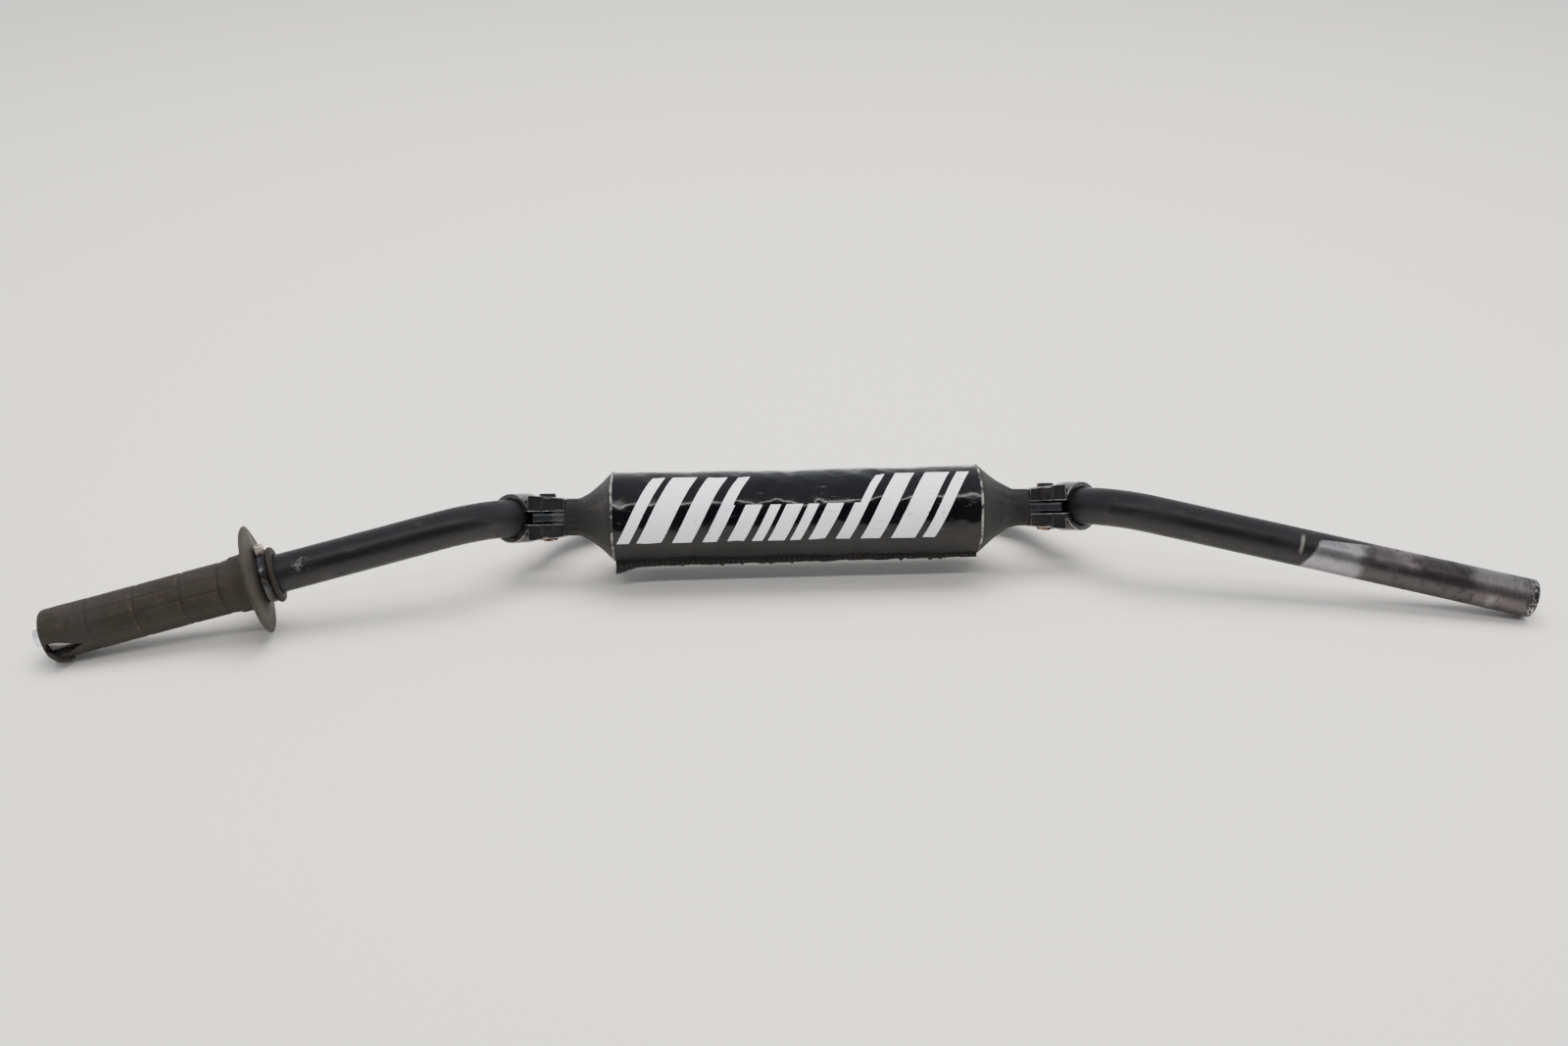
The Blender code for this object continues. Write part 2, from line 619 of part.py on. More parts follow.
def make_expander():
    """A sleeve slit across twice, with a cone in its inner mouth for the wedge nut."""
    inner = ANCHOR_BOLT_RADIUS + 1.5 * MM
    top, foot = -GAP, -GAP - EXPANDER_LENGTH
    profile = [(EXPANDER_RADIUS, top), (EXPANDER_RADIUS, foot), (EXPANDER_RADIUS - MM, foot),
               (inner, foot + 9 * MM), (inner, top)]
    sleeve = place(turned("anchor_expander", profile, 24), PARTS, LEFT_END, LEFT_TURN, GREY_NEOPRENE)
    slit_length = EXPANDER_LENGTH - 5 * MM
    for name, size in (("slit_a", (40 * MM, 1.5 * MM, slit_length)), ("slit_b", (1.5 * MM, 40 * MM, slit_length))):
        middle = beside_left_end(EXPANDER_LENGTH + 2 * GAP - slit_length / 2 + 0.5 * MM)
        cut(sleeve, box(f"expander_{name}", size), middle, LEFT_TURN)
    return sleeve


def make_wedge_nut():
    """The cone that the bolt draws into the expander."""
    bore = ANCHOR_BOLT_RADIUS + GAP
    tip = -GAP - EXPANDER_LENGTH + 3 * MM
    foot = tip - WEDGE_NUT_LENGTH
    widest = EXPANDER_RADIUS - 0.4 * MM
    cone_end = tip - 5 * MM
    profile = [(widest - 2.6 * MM, tip), (widest, cone_end), (widest, foot), (bore, foot), (bore, tip)]
    return place(turned("anchor_wedge_nut", profile, 24), PARTS, LEFT_END, LEFT_TURN, ZINC)


# ---- lay the bar on the table ------------------------------------------------------------------------------
def lay_down():
    """Tips the bar back until both ends touch the table, then puts the origin under its middle."""
    reach = math.hypot(END_SWEEP, END_RISE)
    level = math.atan2(END_SWEEP, END_RISE)
    droop = RIGHT_OUTWARD.y * math.cos(level) + RIGHT_OUTWARD.z * math.sin(level)
    upright = math.sqrt(1 - droop * droop)
    mean_end_height = (TUBE_RADIUS + GRIP_RADIUS_END) / 2 * upright
    tip = level + math.asin((mean_end_height - TUBE_RADIUS) / reach)
    lean = math.asin((GRIP_RADIUS_END - TUBE_RADIUS) * upright / (2 * HALF_WIDTH))
    BAR.rotation_euler = (math.pi / 2 - tip, lean, 0)
    low, high = world_box()
    BAR.location = (-(low.x + high.x) / 2, -(low.y + high.y) / 2, -low.z)


def world_box():
    """Lowest and highest corner of all the parts."""
    bpy.context.view_layer.update()
    graph = bpy.context.evaluated_depsgraph_get()
    corners = []
    for thing in PARTS.objects:
        if thing.type == "MESH":
            solid = thing.evaluated_get(graph)
            corners += [solid.matrix_world @ vertex.co for vertex in solid.data.vertices]
    low = Vector([min(corner[i] for corner in corners) for i in range(3)])
    high = Vector([max(corner[i] for corner in corners) for i in range(3)])
    return low, high


make_bar_tube()
make_crossbar()
for bar_side in (LEFT, RIGHT):
    make_clamp(bar_side)
    make_clamp_bolt(bar_side)
    make_clamp_nut(bar_side)
    make_end_cap(bar_side)
    make_piping(bar_side)
    make_neck_elastic(bar_side)
make_foam_core()
make_cover()
make_fastening("pad_hook_strip", 1)
make_fastening("pad_loop_strip", -1)
make_grip()
make_cable_tie()
make_anchor_washer()
make_anchor_bolt()
make_expander()
make_wedge_nut()
lay_down()
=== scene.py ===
"""Looks of a used off-road handlebar: worn paint, padded crossbar, dusty grip and small hardware."""
import json
import math

import bmesh
import bpy
from mathutils import Matrix, Vector, noise


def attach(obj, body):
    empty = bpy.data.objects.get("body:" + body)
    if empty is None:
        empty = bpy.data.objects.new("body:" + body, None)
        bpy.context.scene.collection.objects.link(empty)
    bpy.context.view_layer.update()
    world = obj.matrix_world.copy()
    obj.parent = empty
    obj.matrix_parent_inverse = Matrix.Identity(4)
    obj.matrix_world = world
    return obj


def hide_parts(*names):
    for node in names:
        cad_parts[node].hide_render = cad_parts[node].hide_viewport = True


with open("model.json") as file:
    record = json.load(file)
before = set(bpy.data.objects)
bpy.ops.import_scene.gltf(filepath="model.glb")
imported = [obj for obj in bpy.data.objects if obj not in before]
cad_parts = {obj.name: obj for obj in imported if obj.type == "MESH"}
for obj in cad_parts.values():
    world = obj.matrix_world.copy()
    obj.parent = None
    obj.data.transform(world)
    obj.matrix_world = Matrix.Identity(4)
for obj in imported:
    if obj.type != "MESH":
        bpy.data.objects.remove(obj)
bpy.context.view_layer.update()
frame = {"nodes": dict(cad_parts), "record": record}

MM = 0.001
NODES = frame["nodes"]
MOUNTS = {mount["name"]: mount for mount in frame["record"]["mounts"]}

# ---- sizes of the bar, as in the CAD ----
TUBE_RADIUS = 11.1 * MM
TUBE_WALL = 2.3 * MM
FACET_DISTANCE = TUBE_RADIUS * math.cos(math.pi / 24)
HALF_WIDTH = 417 * MM
END_RISE = 102 * MM
END_SWEEP = 58 * MM
LOWER_CORNER_X = 130 * MM
UPPER_CORNER_X = 183 * MM
UPPER_CORNER_Z = 76 * MM
BEND_RADIUS = 50 * MM
CROSSBAR_Z = 57 * MM
CLAMP_BOLT_X = 147.2 * MM
BOLT_SEAT_MM = 8.3  # from the crossbar's axis to the clamp's outer faces
PAD_RADIUS = 26 * MM
PAD_HALF = 107 * MM
PAD_SHIFT = -1.4 * MM
NECK_RADIUS = 11 * MM
NECK_START = 130 * MM
NECK_END = 136 * MM
PIPING_RADIUS = 0.8 * MM
TIE_AT = 120.4 * MM


def bar_frame():
    """The bar's own frame: X to the right-hand end, Y away from the rider, Z up the risers."""
    up = Vector(MOUNTS["clamped_section_top"]["axis"]).normalized()
    away = Vector(MOUNTS["clamped_section_front"]["axis"]).normalized()
    middle = Vector(MOUNTS["clamped_section_top"]["pos_m"]) - up * FACET_DISTANCE
    return Matrix.Translation(middle) @ Matrix((away.cross(up), away, up)).transposed().to_4x4()


BAR = bar_frame()


def turned_frame(origin, outward):
    """A frame in the bar's frame whose Z runs along outward and whose Y leans towards the bar's Y."""
    z = outward.normalized()
    y = (Vector((0, 1, 0)) - z * z.y).normalized()
    return Matrix.Translation(origin) @ Matrix((y.cross(z), y, z)).transposed().to_4x4()


# ---- node materials ----
class Look:
    """A node material. Each method adds one node and returns its output."""

    def __init__(self, name, roughness=0.5, metallic=0.0, cad=False, **sockets):
        self.material = bpy.data.materials.new(name)
        self.material.use_nodes = True
        self.tree = self.material.node_tree
        self.shader = self.tree.nodes["Principled BSDF"]
        self.wire("Roughness", roughness)
        self.wire("Metallic", metallic)
        for key, value in sockets.items():
            self.wire(key.replace("_", " "), value)
        if cad:
            self.here = self.add("TexCoord", "Object")
        else:
            self.here = self.add("Attribute", "Vector", attribute_name="place")

    def wire(self, socket, value):
        target = self.shader.inputs[socket]
        if isinstance(value, bpy.types.NodeSocket):
            self.tree.links.new(value, target)
        else:
            target.default_value = value
        return self

    def add(self, kind, output=0, inputs=None, **settings):
        node = self.tree.nodes.new("ShaderNode" + kind)
        for key, value in settings.items():
            setattr(node, key, value)
        for key, value in (inputs or {}).items():
            if isinstance(value, bpy.types.NodeSocket):
                self.tree.links.new(value, node.inputs[key])
            else:
                node.inputs[key].default_value = value
        return node.outputs[output]

    def stretched(self, x, y, z):
        return self.add("Mapping", inputs={"Vector": self.here, "Scale": (x, y, z)})

    def noise(self, scale, detail=3.0, rough=0.5, source=None, distortion=0.0):
        return self.add("TexNoise", "Fac", {"Vector": source or self.here, "Scale": scale, "Detail": detail,
                                            "Roughness": rough, "Distortion": distortion})

    def cells(self, scale, source=None):
        return self.add("TexVoronoi", "Distance", {"Vector": source or self.here, "Scale": scale,
                                                   "Randomness": 1.0}, feature="F1")

    def axis(self, name):
        return self.add("SeparateXYZ", name, {0: self.here})

    def band(self, value, low, high, start=0.0, end=1.0):
        return self.add("MapRange", 0, {0: value, 1: low, 2: high, 3: start, 4: end}, clamp=True,
                        interpolation_type="SMOOTHSTEP")

    def math(self, operation, a, b=0.0):
        return self.add("Math", 0, {0: a, 1: b}, operation=operation)

    def times(self, *values):
        result = values[0]
        for value in values[1:]:
            result = self.math("MULTIPLY", result, value)
        return result

    def plus(self, a, b):
        return self.math("ADD", a, b)

    def limit(self, value):
        return self.add("Clamp", 0, {0: value})

    def mix(self, share, a, b):
        shades = {6: a if isinstance(a, bpy.types.NodeSocket) else (*a, 1.0),
                  7: b if isinstance(b, bpy.types.NodeSocket) else (*b, 1.0)}
        return self.add("Mix", 2, {0: share, **shades}, data_type="RGBA")

    def blend(self, share, a, b):
        return self.add("Mix", 0, {0: share, 2: a, 3: b}, data_type="FLOAT")

    def attribute(self, name):
        return self.add("Attribute", "Fac", attribute_name=name)

    def colour(self, value):
        self.wire("Base Color", value)

    def rough(self, value):
        self.wire("Roughness", value)

    def relief(self, height, distance, strength):
        """Bump from a height, with its distance in metres."""
        self.wire("Normal", self.add("Bump", inputs={"Height": height, "Distance": distance,
                                                     "Strength": strength}))


def paint_look():
    """Satin black tube paint: scuffed, chipped, and worn to stained bare steel towards the right end."""
    look = Look("tube_paint", Specular_IOR_Level=0.36)
    u, up = look.attribute("u"), look.attribute("up")
    fine = look.noise(2.4, 5, 0.62, look.stretched(480, 70, 70))
    cloud = look.noise(55, 5, 0.62)
    speck = look.noise(900, 3, 0.6)
    # bare steel: its edge slants across the tube and is ragged
    edge = look.plus(look.plus(u, look.times(up, -5.0)), look.times(look.plus(cloud, -0.5), 9.0))
    edge = look.plus(edge, look.band(up, 0.55, 0.92, 0.0, -26.0))
    bare = look.band(edge, 293.5, 295.5)
    ring = look.times(look.band(u, 285.4, 286.2), look.band(u, 288.2, 287.3), look.band(up, -0.45, -0.1),
                      look.band(up, 0.75, 0.5), look.band(cloud, 0.36, 0.44))
    scuff = look.times(look.band(look.noise(38, 6, 0.7, look.stretched(1, 2.5, 2.5)), 0.56, 0.70), 0.6)
    dust = look.band(look.noise(16, 4, 0.6), 0.42, 0.72)
    black = look.mix(dust, (0.0048, 0.0046, 0.0060), (0.0125, 0.0112, 0.0135))
    black = look.mix(scuff, black, (0.030, 0.027, 0.027))
    chips = look.band(look.cells(70), 0.075, 0.05)
    chips = look.times(chips, look.band(look.noise(23, 2), 0.56, 0.6))
    # the pale chip beside the grip's flange, and a little cluster at the far side
    near_flange = look.times(look.band(u, -288, -285), look.band(u, -274, -279), look.band(up, -0.25, 0.0),
                             look.band(up, 0.62, 0.4), look.band(look.noise(230, 5, 0.75), 0.52, 0.58), 0.45)
    chips = look.limit(look.plus(chips, look.plus(near_flange, look.times(ring, 0.8))))
    black = look.mix(chips, black, (0.19, 0.178, 0.168))
    # steel zones along the bare end
    pale = look.mix(fine, (0.15, 0.147, 0.156), (0.33, 0.325, 0.34))
    dark = look.mix(fine, (0.035, 0.031, 0.033), (0.085, 0.077, 0.080))
    pink = look.mix(look.band(cloud, 0.35, 0.65), (0.075, 0.064, 0.068), (0.20, 0.172, 0.172))
    bright = look.mix(fine, (0.085, 0.078, 0.080), (0.27, 0.253, 0.253))
    wobble = look.plus(u, look.times(look.plus(cloud, -0.5), 9.0))
    steel = look.mix(look.band(wobble, 316, 324), pale, dark)
    steel = look.mix(look.times(look.band(wobble, 324, 329), look.band(up, -0.15, 0.15)), steel, pink)
    steel = look.mix(look.band(wobble, 348, 356), steel, dark)
    steel = look.mix(look.band(wobble, 378, 386), steel, bright)
    # the underside of the pale steel is darkened in patches: painted shade
    lower = look.times(look.band(up, 0.25, -0.35), look.band(cloud, 0.24, 0.46), look.band(u, 312, 326), 0.8)
    steel = look.mix(lower, steel, (0.062, 0.055, 0.059))
    stain = look.band(look.noise(75, 6, 0.72, look.stretched(1.8, 1, 1)), 0.50, 0.64)
    steel = look.mix(look.times(stain, look.band(u, 318, 345), 0.7), steel, (0.038, 0.033, 0.036))
    rust = look.times(look.band(look.noise(120, 4, 0.7), 0.58, 0.70), 0.25)
    steel = look.mix(rust, steel, (0.16, 0.085, 0.055))
    mouth = look.band(u, 411.5, 414.5)
    specked = look.mix(look.band(speck, 0.52, 0.62), (0.045, 0.04, 0.042), (0.42, 0.41, 0.41))
    steel = look.mix(mouth, steel, specked)
    # the left-hand end is bare too, under the grip
    bare = look.math("MAXIMUM", bare, look.band(u, -404, -407))
    look.colour(look.mix(bare, black, steel))
    worn = look.limit(look.plus(bare, look.times(chips, 0.5)))
    look.wire("Metallic", look.times(worn, look.band(cloud, 0.2, 0.5), 0.82))
    rough = look.blend(bare, look.band(look.plus(fine, look.times(dust, 0.5)), 0.2, 1.1, 0.36, 0.58),
                       look.band(look.plus(stain, fine), 0.3, 1.6, 0.34, 0.52))
    look.rough(rough)
    brushed = look.noise(3.2, 4, 0.65, look.stretched(900, 120, 120))
    height = look.plus(look.times(look.plus(brushed, speck), 0.25), look.times(bare, -0.6))
    look.relief(height, 0.00012, 0.5)
    return look.material


def crossbar_look():
    look = Look("crossbar_paint", cad=True)
    scratch = look.noise(3, 5, 0.6, look.stretched(300, 60, 300))
    worn = look.band(look.noise(90, 5, 0.65), 0.55, 0.68)
    base = look.mix(scratch, (0.005, 0.006, 0.009), (0.014, 0.016, 0.022))
    look.colour(look.mix(look.times(worn, 0.3), base, (0.14, 0.13, 0.125)))
    look.rough(look.band(scratch, 0.3, 0.7, 0.28, 0.5))
    look.relief(scratch, 0.0001, 0.5)
    return look.material


def cast_look(name, brown):
    """Painted casting: grainy, glossy, rubbed bare along its edges."""
    look = Look(name, Coat_Weight=0.5, Coat_Roughness=0.2)
    grain = look.noise(700, 4, 0.6)
    cloud = look.noise(110, 5, 0.65)
    worn = look.band(look.plus(look.attribute("wear"), look.times(look.plus(cloud, -0.5), 1.1)), 0.50, 0.85)
    rubbed = look.band(look.noise(60, 5, 0.7), 0.55, 0.75)
    base = look.mix(rubbed, (0.0065, 0.006, 0.0065), brown)
    metal = look.mix(grain, (0.12, 0.11, 0.105), (0.36, 0.34, 0.33))
    hollow = look.band(look.attribute("wear"), 0.30, 0.05)
    base = look.mix(look.times(hollow, cloud, 0.7), base, (0.030, 0.025, 0.021))
    look.colour(look.mix(worn, base, metal))
    look.wire("Metallic", look.times(worn, 0.8))
    look.rough(look.blend(worn, look.band(look.plus(grain, cloud), 0.6, 1.4, 0.26, 0.5), 0.34))
    look.relief(look.plus(grain, look.times(cloud, 1.5)), 0.00022, 0.55)
    return look.material


def screw_look():
    look = Look("black_oxide")
    grain = look.noise(800, 4, 0.6)
    cloud = look.noise(220, 4, 0.6)
    base = look.mix(look.band(cloud, 0.5, 0.7), (0.02, 0.02, 0.021), (0.10, 0.075, 0.06))
    look.colour(base)
    look.wire("Metallic", look.band(cloud, 0.3, 0.6, 0.7, 0.3))
    look.rough(look.band(grain, 0.3, 0.7, 0.3, 0.5))
    look.relief(grain, 0.0001, 0.5)
    return look.material


def rust_look():
    look = Look("rusty_nut")
    grain = look.noise(600, 6, 0.7)
    cloud = look.noise(260, 5, 0.7)
    base = look.mix(look.band(cloud, 0.35, 0.62), (0.055, 0.035, 0.026), (0.30, 0.15, 0.085))
    base = look.mix(look.band(grain, 0.58, 0.66), base, (0.42, 0.39, 0.36))
    look.colour(base)
    look.wire("Metallic", look.band(cloud, 0.6, 0.35, 0.15, 0.6))
    look.rough(look.band(grain, 0.3, 0.7, 0.5, 0.85))
    look.relief(grain, 0.0003, 0.7)
    return look.material


def vinyl_look():
    """Glossy black coated cloth with a pale printed pattern of slanting bars, dusty towards the underside."""
    look = Look("black_vinyl", Coat_Weight=0.03, Coat_Roughness=0.04, Specular_IOR_Level=0.28)
    x, y, z = look.axis("X"), look.axis("Y"), look.axis("Z")
    weave = look.noise(1200, 2, 0.5)
    cloud = look.noise(30, 5, 0.6)
    fine = look.noise(420, 4, 0.65)
    base = look.mix(look.band(cloud, 0.4, 0.7), (0.0028, 0.0028, 0.0038), (0.0055, 0.0055, 0.0068))
    # the print: bars that slant with the turn, wide at both ends and narrow in the middle
    turn = look.math("ARCTAN2", y, z)
    slanted = look.plus(x, look.times(turn, -13.0 * MM))
    printed = None
    for centre, width in PRINT_BARS:
        away = look.math("ABSOLUTE", look.plus(slanted, -centre * MM))
        bar = look.band(away, (width / 2 + 0.12) * MM, (width / 2 - 0.12) * MM)
        printed = bar if printed is None else look.math("MAXIMUM", printed, bar)
    span = look.times(look.band(turn, *PRINT_TURN_LOW), look.band(turn, *PRINT_TURN_HIGH))
    lower_bars = look.band(turn, PRINT_SPLIT + 0.01, PRINT_SPLIT - 0.01)
    middle = look.band(look.math("ABSOLUTE", look.plus(slanted, 3 * MM)), 37.0 * MM, 36.6 * MM)
    kept = look.math("SUBTRACT", 1.0, look.times(middle, look.math("SUBTRACT", 1.0, lower_bars)))
    printed = look.times(printed, span, kept)
    rubbed = look.band(look.noise(140, 6, 0.72), 0.64, 0.70, 1.0, 0.45)
    nicks = look.band(look.noise(36, 4, 0.7, look.stretched(1, 3, 3)), 0.66, 0.70, 1.0, 0.35)
    printed = look.times(printed, rubbed, nicks)
    white = look.mix(cloud, (0.84, 0.87, 0.95), (0.93, 0.95, 1.0))
    base = look.mix(printed, base, white)
    # pale scratches, and dust that grows towards the underside
    scratch = look.band(look.noise(5.5, 4, 0.6, look.stretched(14, 90, 90), distortion=0.6), 0.655, 0.69)
    base = look.mix(look.times(scratch, 0.35), base, (0.10, 0.10, 0.105))
    low = look.band(y, -5 * MM, -24 * MM)
    dust = look.times(low, look.band(look.plus(cloud, look.times(fine, 0.5)), 0.45, 0.95), 0.5)
    base = look.mix(dust, base, (0.022, 0.021, 0.021))
    look.colour(base)
    rough = look.plus(look.band(fine, 0.3, 0.7, 0.11, 0.19), look.times(low, 0.46))
    look.rough(look.plus(rough, look.times(scratch, 0.12)))
    height = look.plus(look.times(weave, 0.10), look.plus(look.times(cloud, 0.5), look.times(printed, 0.4)))
    look.relief(height, 0.0004, 0.16)
    return look.material


def knit_look():
    """Matt grey-black stretch cloth with fine ribs, rub marks and dust."""
    look = Look("neoprene_knit", 0.8, Sheen_Weight=0.12, Sheen_Roughness=0.5, Specular_IOR_Level=0.25)
    ribs = look.add("TexWave", "Fac", {"Vector": look.here, "Scale": 420.0, "Distortion": 2.5, "Detail": 2.0},
                    bands_direction="X")
    loops = look.cells(1500, source=look.stretched(1, 0.6, 0.6))
    cloud = look.noise(65, 6, 0.68)
    base = look.mix(cloud, (0.0062, 0.0060, 0.0062), (0.0165, 0.0158, 0.0156))
    rub = look.band(look.noise(34, 5, 0.7), 0.54, 0.68)
    base = look.mix(look.times(rub, 0.6), base, (0.044, 0.038, 0.034))
    # darker in the low parts between the ribs and loops: painted shade
    dark = look.band(look.plus(ribs, loops), 0.9, 0.3)
    base = look.mix(look.times(dark, 0.45), base, (0.008, 0.008, 0.008))
    look.colour(base)
    height = look.plus(look.times(ribs, 0.5), look.plus(loops, look.times(cloud, 2.0)))
    look.relief(height, 0.00025, 0.6)
    return look.material


def piping_look():
    look = Look("piping", 0.65)
    worn = look.noise(130, 6, 0.7)
    twist = look.noise(900, 2)
    pale = look.mix(twist, (0.13, 0.125, 0.12), (0.36, 0.345, 0.32))
    front = look.band(look.axis("Z"), -6 * MM, 12 * MM)
    keep = look.times(look.band(worn, 0.42, 0.60), front)
    look.colour(look.mix(keep, (0.02, 0.019, 0.019), pale))
    look.relief(look.plus(worn, twist), 0.0002, 0.7)
    return look.material


def hem_look():
    look = Look("hem_cloth", 0.62, Specular_IOR_Level=0.35)
    weave = look.noise(1100, 3)
    cloud = look.noise(80, 6, 0.7)
    base = look.mix(cloud, (0.006, 0.006, 0.006), (0.022, 0.021, 0.020))
    stitch = look.band(look.add("TexWave", "Fac", {"Vector": look.here, "Scale": 105.0}, bands_direction="X"),
                       0.72, 0.9)
    edge = look.attribute("edge")
    near_edge = look.times(look.band(edge, 0.42, 0.5), look.band(edge, 0.66, 0.58))
    base = look.mix(look.times(stitch, near_edge, 0.8), base, (0.09, 0.085, 0.08))
    look.colour(base)
    height = look.plus(look.times(weave, 0.4), look.plus(cloud, look.times(stitch, near_edge)))
    look.relief(height, 0.0004, 0.7)
    return look.material


def fuzz_look():
    look = Look("hook_and_loop", 0.95, Sheen_Weight=0.6, Specular_IOR_Level=0.15)
    fibres = look.noise(1500, 5, 0.75)
    tufts = look.noise(240, 4, 0.7)
    look.colour(look.mix(look.band(look.plus(fibres, tufts), 0.8, 1.25), (0.008, 0.008, 0.008),
                                     (0.075, 0.070, 0.066)))
    look.relief(look.plus(fibres, tufts), 0.0009, 0.9)
    return look.material


def elastic_look():
    look = Look("elastic", 0.8, Sheen_Weight=0.3)
    ribs = look.add("TexWave", "Fac", {"Vector": look.here, "Scale": 500.0}, bands_direction="X")
    look.colour(look.mix(ribs, (0.010, 0.010, 0.010), (0.045, 0.042, 0.040)))
    look.relief(look.plus(ribs, look.noise(700)), 0.0003, 0.7)
    return look.material


def rubber_look(name, flange):
    """Old brown-grey grip rubber: dusty, darker where it was held, with painted shade in its grooves and in
    the recess behind the flange.
    """
    look = Look(name, Specular_IOR_Level=0.3)
    cloud = look.noise(48, 6, 0.65)
    fine = look.noise(620, 4, 0.65)
    streak = look.noise(3.0, 5, 0.65, look.stretched(150, 150, 22))
    base = look.mix(look.band(cloud, 0.34, 0.68), (0.0200, 0.0165, 0.0130), (0.0390, 0.0320, 0.0258))
    base = look.mix(look.times(look.band(streak, 0.48, 0.72), 0.22), base, (0.052, 0.044, 0.036))
    held = look.band(look.noise(21, 3, 0.5), 0.46, 0.62)
    base = look.mix(look.times(held, 0.6), base, (0.024, 0.0215, 0.022))
    groove = look.attribute("groove")
    # painted shade in the grooves and in the recess behind the flange
    groove_shade = look.times(look.band(look.plus(groove, look.times(look.plus(cloud, -0.5), 1.4)), 0.15, 0.95), 0.6)
    base = look.mix(groove_shade, base, (0.0145, 0.0118, 0.0100))
    lip = look.band(look.attribute("lip"), 0.35, 0.9)
    lip = look.times(lip, look.band(look.noise(210, 4, 0.6), 0.42, 0.6))
    base = look.mix(look.times(lip, 0.5), base, (0.080, 0.056, 0.038))
    if flange:
        base = look.mix(look.band(cloud, 0.3, 0.7, 0.35, 0.85), base, (0.050, 0.043, 0.037))
    base = look.mix(look.band(fine, 0.60, 0.72, 0.0, 0.3), base, (0.13, 0.11, 0.095))
    look.colour(base)
    look.rough(look.band(look.plus(cloud, fine), 0.6, 1.4, 0.58, 0.86))
    height = look.plus(look.times(fine, 0.7), look.plus(look.times(cloud, 1.2), look.times(streak, 0.25)))
    look.relief(height, 0.00035, 0.6)
    return look.material


def nylon_look():
    look = Look("nylon_tie", 0.28, Coat_Weight=0.2)
    fine = look.noise(500, 3)
    look.colour(look.mix(look.band(look.noise(160, 4, 0.7), 0.5, 0.7), (0.008, 0.008, 0.011),
                                     (0.05, 0.045, 0.04)))
    look.rough(look.band(fine, 0.3, 0.7, 0.2, 0.42))
    look.relief(fine, 0.00015, 0.6)
    return look.material


# the tie's head is painted pale: partly a painted highlight on the black nylon, partly dust
def tie_head_highlight_and_dust_look():
    look = Look("nylon_tie_head", 0.4)
    cloud = look.noise(300, 5, 0.7)
    look.colour(look.mix(look.band(cloud, 0.42, 0.62), (0.47, 0.42, 0.36), (0.10, 0.085, 0.07)))
    look.relief(cloud, 0.0003, 0.6)
    return look.material


def zinc_look(name="zinc_plate", dirt=0.35, cad=False):
    look = Look(name, cad=cad)
    fine = look.noise(900, 4, 0.6)
    cloud = look.noise(300, 5, 0.7)
    dirty = look.times(look.band(cloud, 0.48, 0.66), dirt)
    base = look.mix(fine, (0.62, 0.66, 0.74), (0.82, 0.86, 0.94))
    look.colour(look.mix(dirty, base, (0.13, 0.10, 0.08)))
    look.wire("Metallic", look.band(dirty, 0.0, 0.6, 0.70, 0.30))
    look.rough(look.band(look.plus(fine, dirty), 0.3, 1.0, 0.18, 0.5))
    look.relief(look.plus(fine, cloud), 0.0002, 0.6)
    return look.material


def expander_look():
    look = Look("expander", 0.8, cad=True)
    cloud = look.noise(300, 5, 0.65)
    look.colour(look.mix(cloud, (0.015, 0.014, 0.014), (0.06, 0.055, 0.05)))
    look.relief(cloud, 0.0003, 0.6)
    return look.material


# centre and width in mm of each printed bar, and the print's reach round the pad in radians
PRINT_BARS = ((-92.5, 7.0), (-77.5, 14.0), (-58.5, 11.0), (-42.5, 8.0), (-27.5, 9.5), (-15.0, 6.0),
              (-4.0, 9.5), (7.0, 6.0), (19.5, 9.5), (34.5, 8.0), (50.5, 11.0), (69.5, 14.0), (84.5, 7.0))
PRINT_TURN_LOW = (-0.665, -0.655)
PRINT_TURN_HIGH = (1.005, 0.995)
PRINT_SPLIT = 0.20


# ---- mesh helpers ----
def add_ring(bm, place, count, radius_at):
    """One ring of vertices: place(angle, radius) puts a point, radius_at(angle) gives its distance."""
    ring = []
    for i in range(count):
        angle = math.tau * i / count
        ring.append(bm.verts.new(place(angle, radius_at(angle))))
    return ring


def bridge(bm, first, second):
    for i in range(len(first)):
        after = (i + 1) % len(first)
        bm.faces.new((first[i], first[after], second[after], second[i]))


def bridge_all(bm, rings, closed=False):
    pairs = list(zip(rings, rings[1:]))
    if closed:
        pairs.append((rings[-1], rings[0]))
    for first, second in pairs:
        bridge(bm, first, second)
    bmesh.ops.recalc_face_normals(bm, faces=bm.faces)


def close_ends(bm, rings):
    for ring in (rings[0], rings[-1]):
        bm.faces.new(ring)
    bmesh.ops.recalc_face_normals(bm, faces=bm.faces)


def linked(name, data, where):
    thing = bpy.data.objects.new(name, data)
    bpy.context.scene.collection.objects.link(thing)
    thing.matrix_world = where
    return thing


def to_object(name, bm, where):
    mesh = bpy.data.meshes.new(name)
    bm.to_mesh(mesh)
    bm.free()
    return linked(name, mesh, where)


def shade(thing, sharp=38):
    thing.data.shade_smooth()
    thing.data.set_sharp_from_angle(angle=math.radians(sharp))


def settle(thing):
    """Keeps each point's own coordinates for the materials, then moves the object's place into its mesh."""
    own = [value for vertex in thing.data.vertices for value in vertex.co]
    thing.data.attributes.new("place", "FLOAT_VECTOR", "POINT").data.foreach_set("vector", own)
    thing.data.transform(thing.matrix_world)
    thing.matrix_world = Matrix.Identity(4)


def dress(thing, look, body, slot, *nodes, sharp=38):
    """Gives a piece its material, the body it moves with and the CAD nodes it stands for; slot is not used."""
    settle(thing)
    thing.data.materials.clear()
    thing.data.materials.append(look)
    shade(thing, sharp)
    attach(thing, body)
    if nodes:
        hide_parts(*nodes)
    return thing


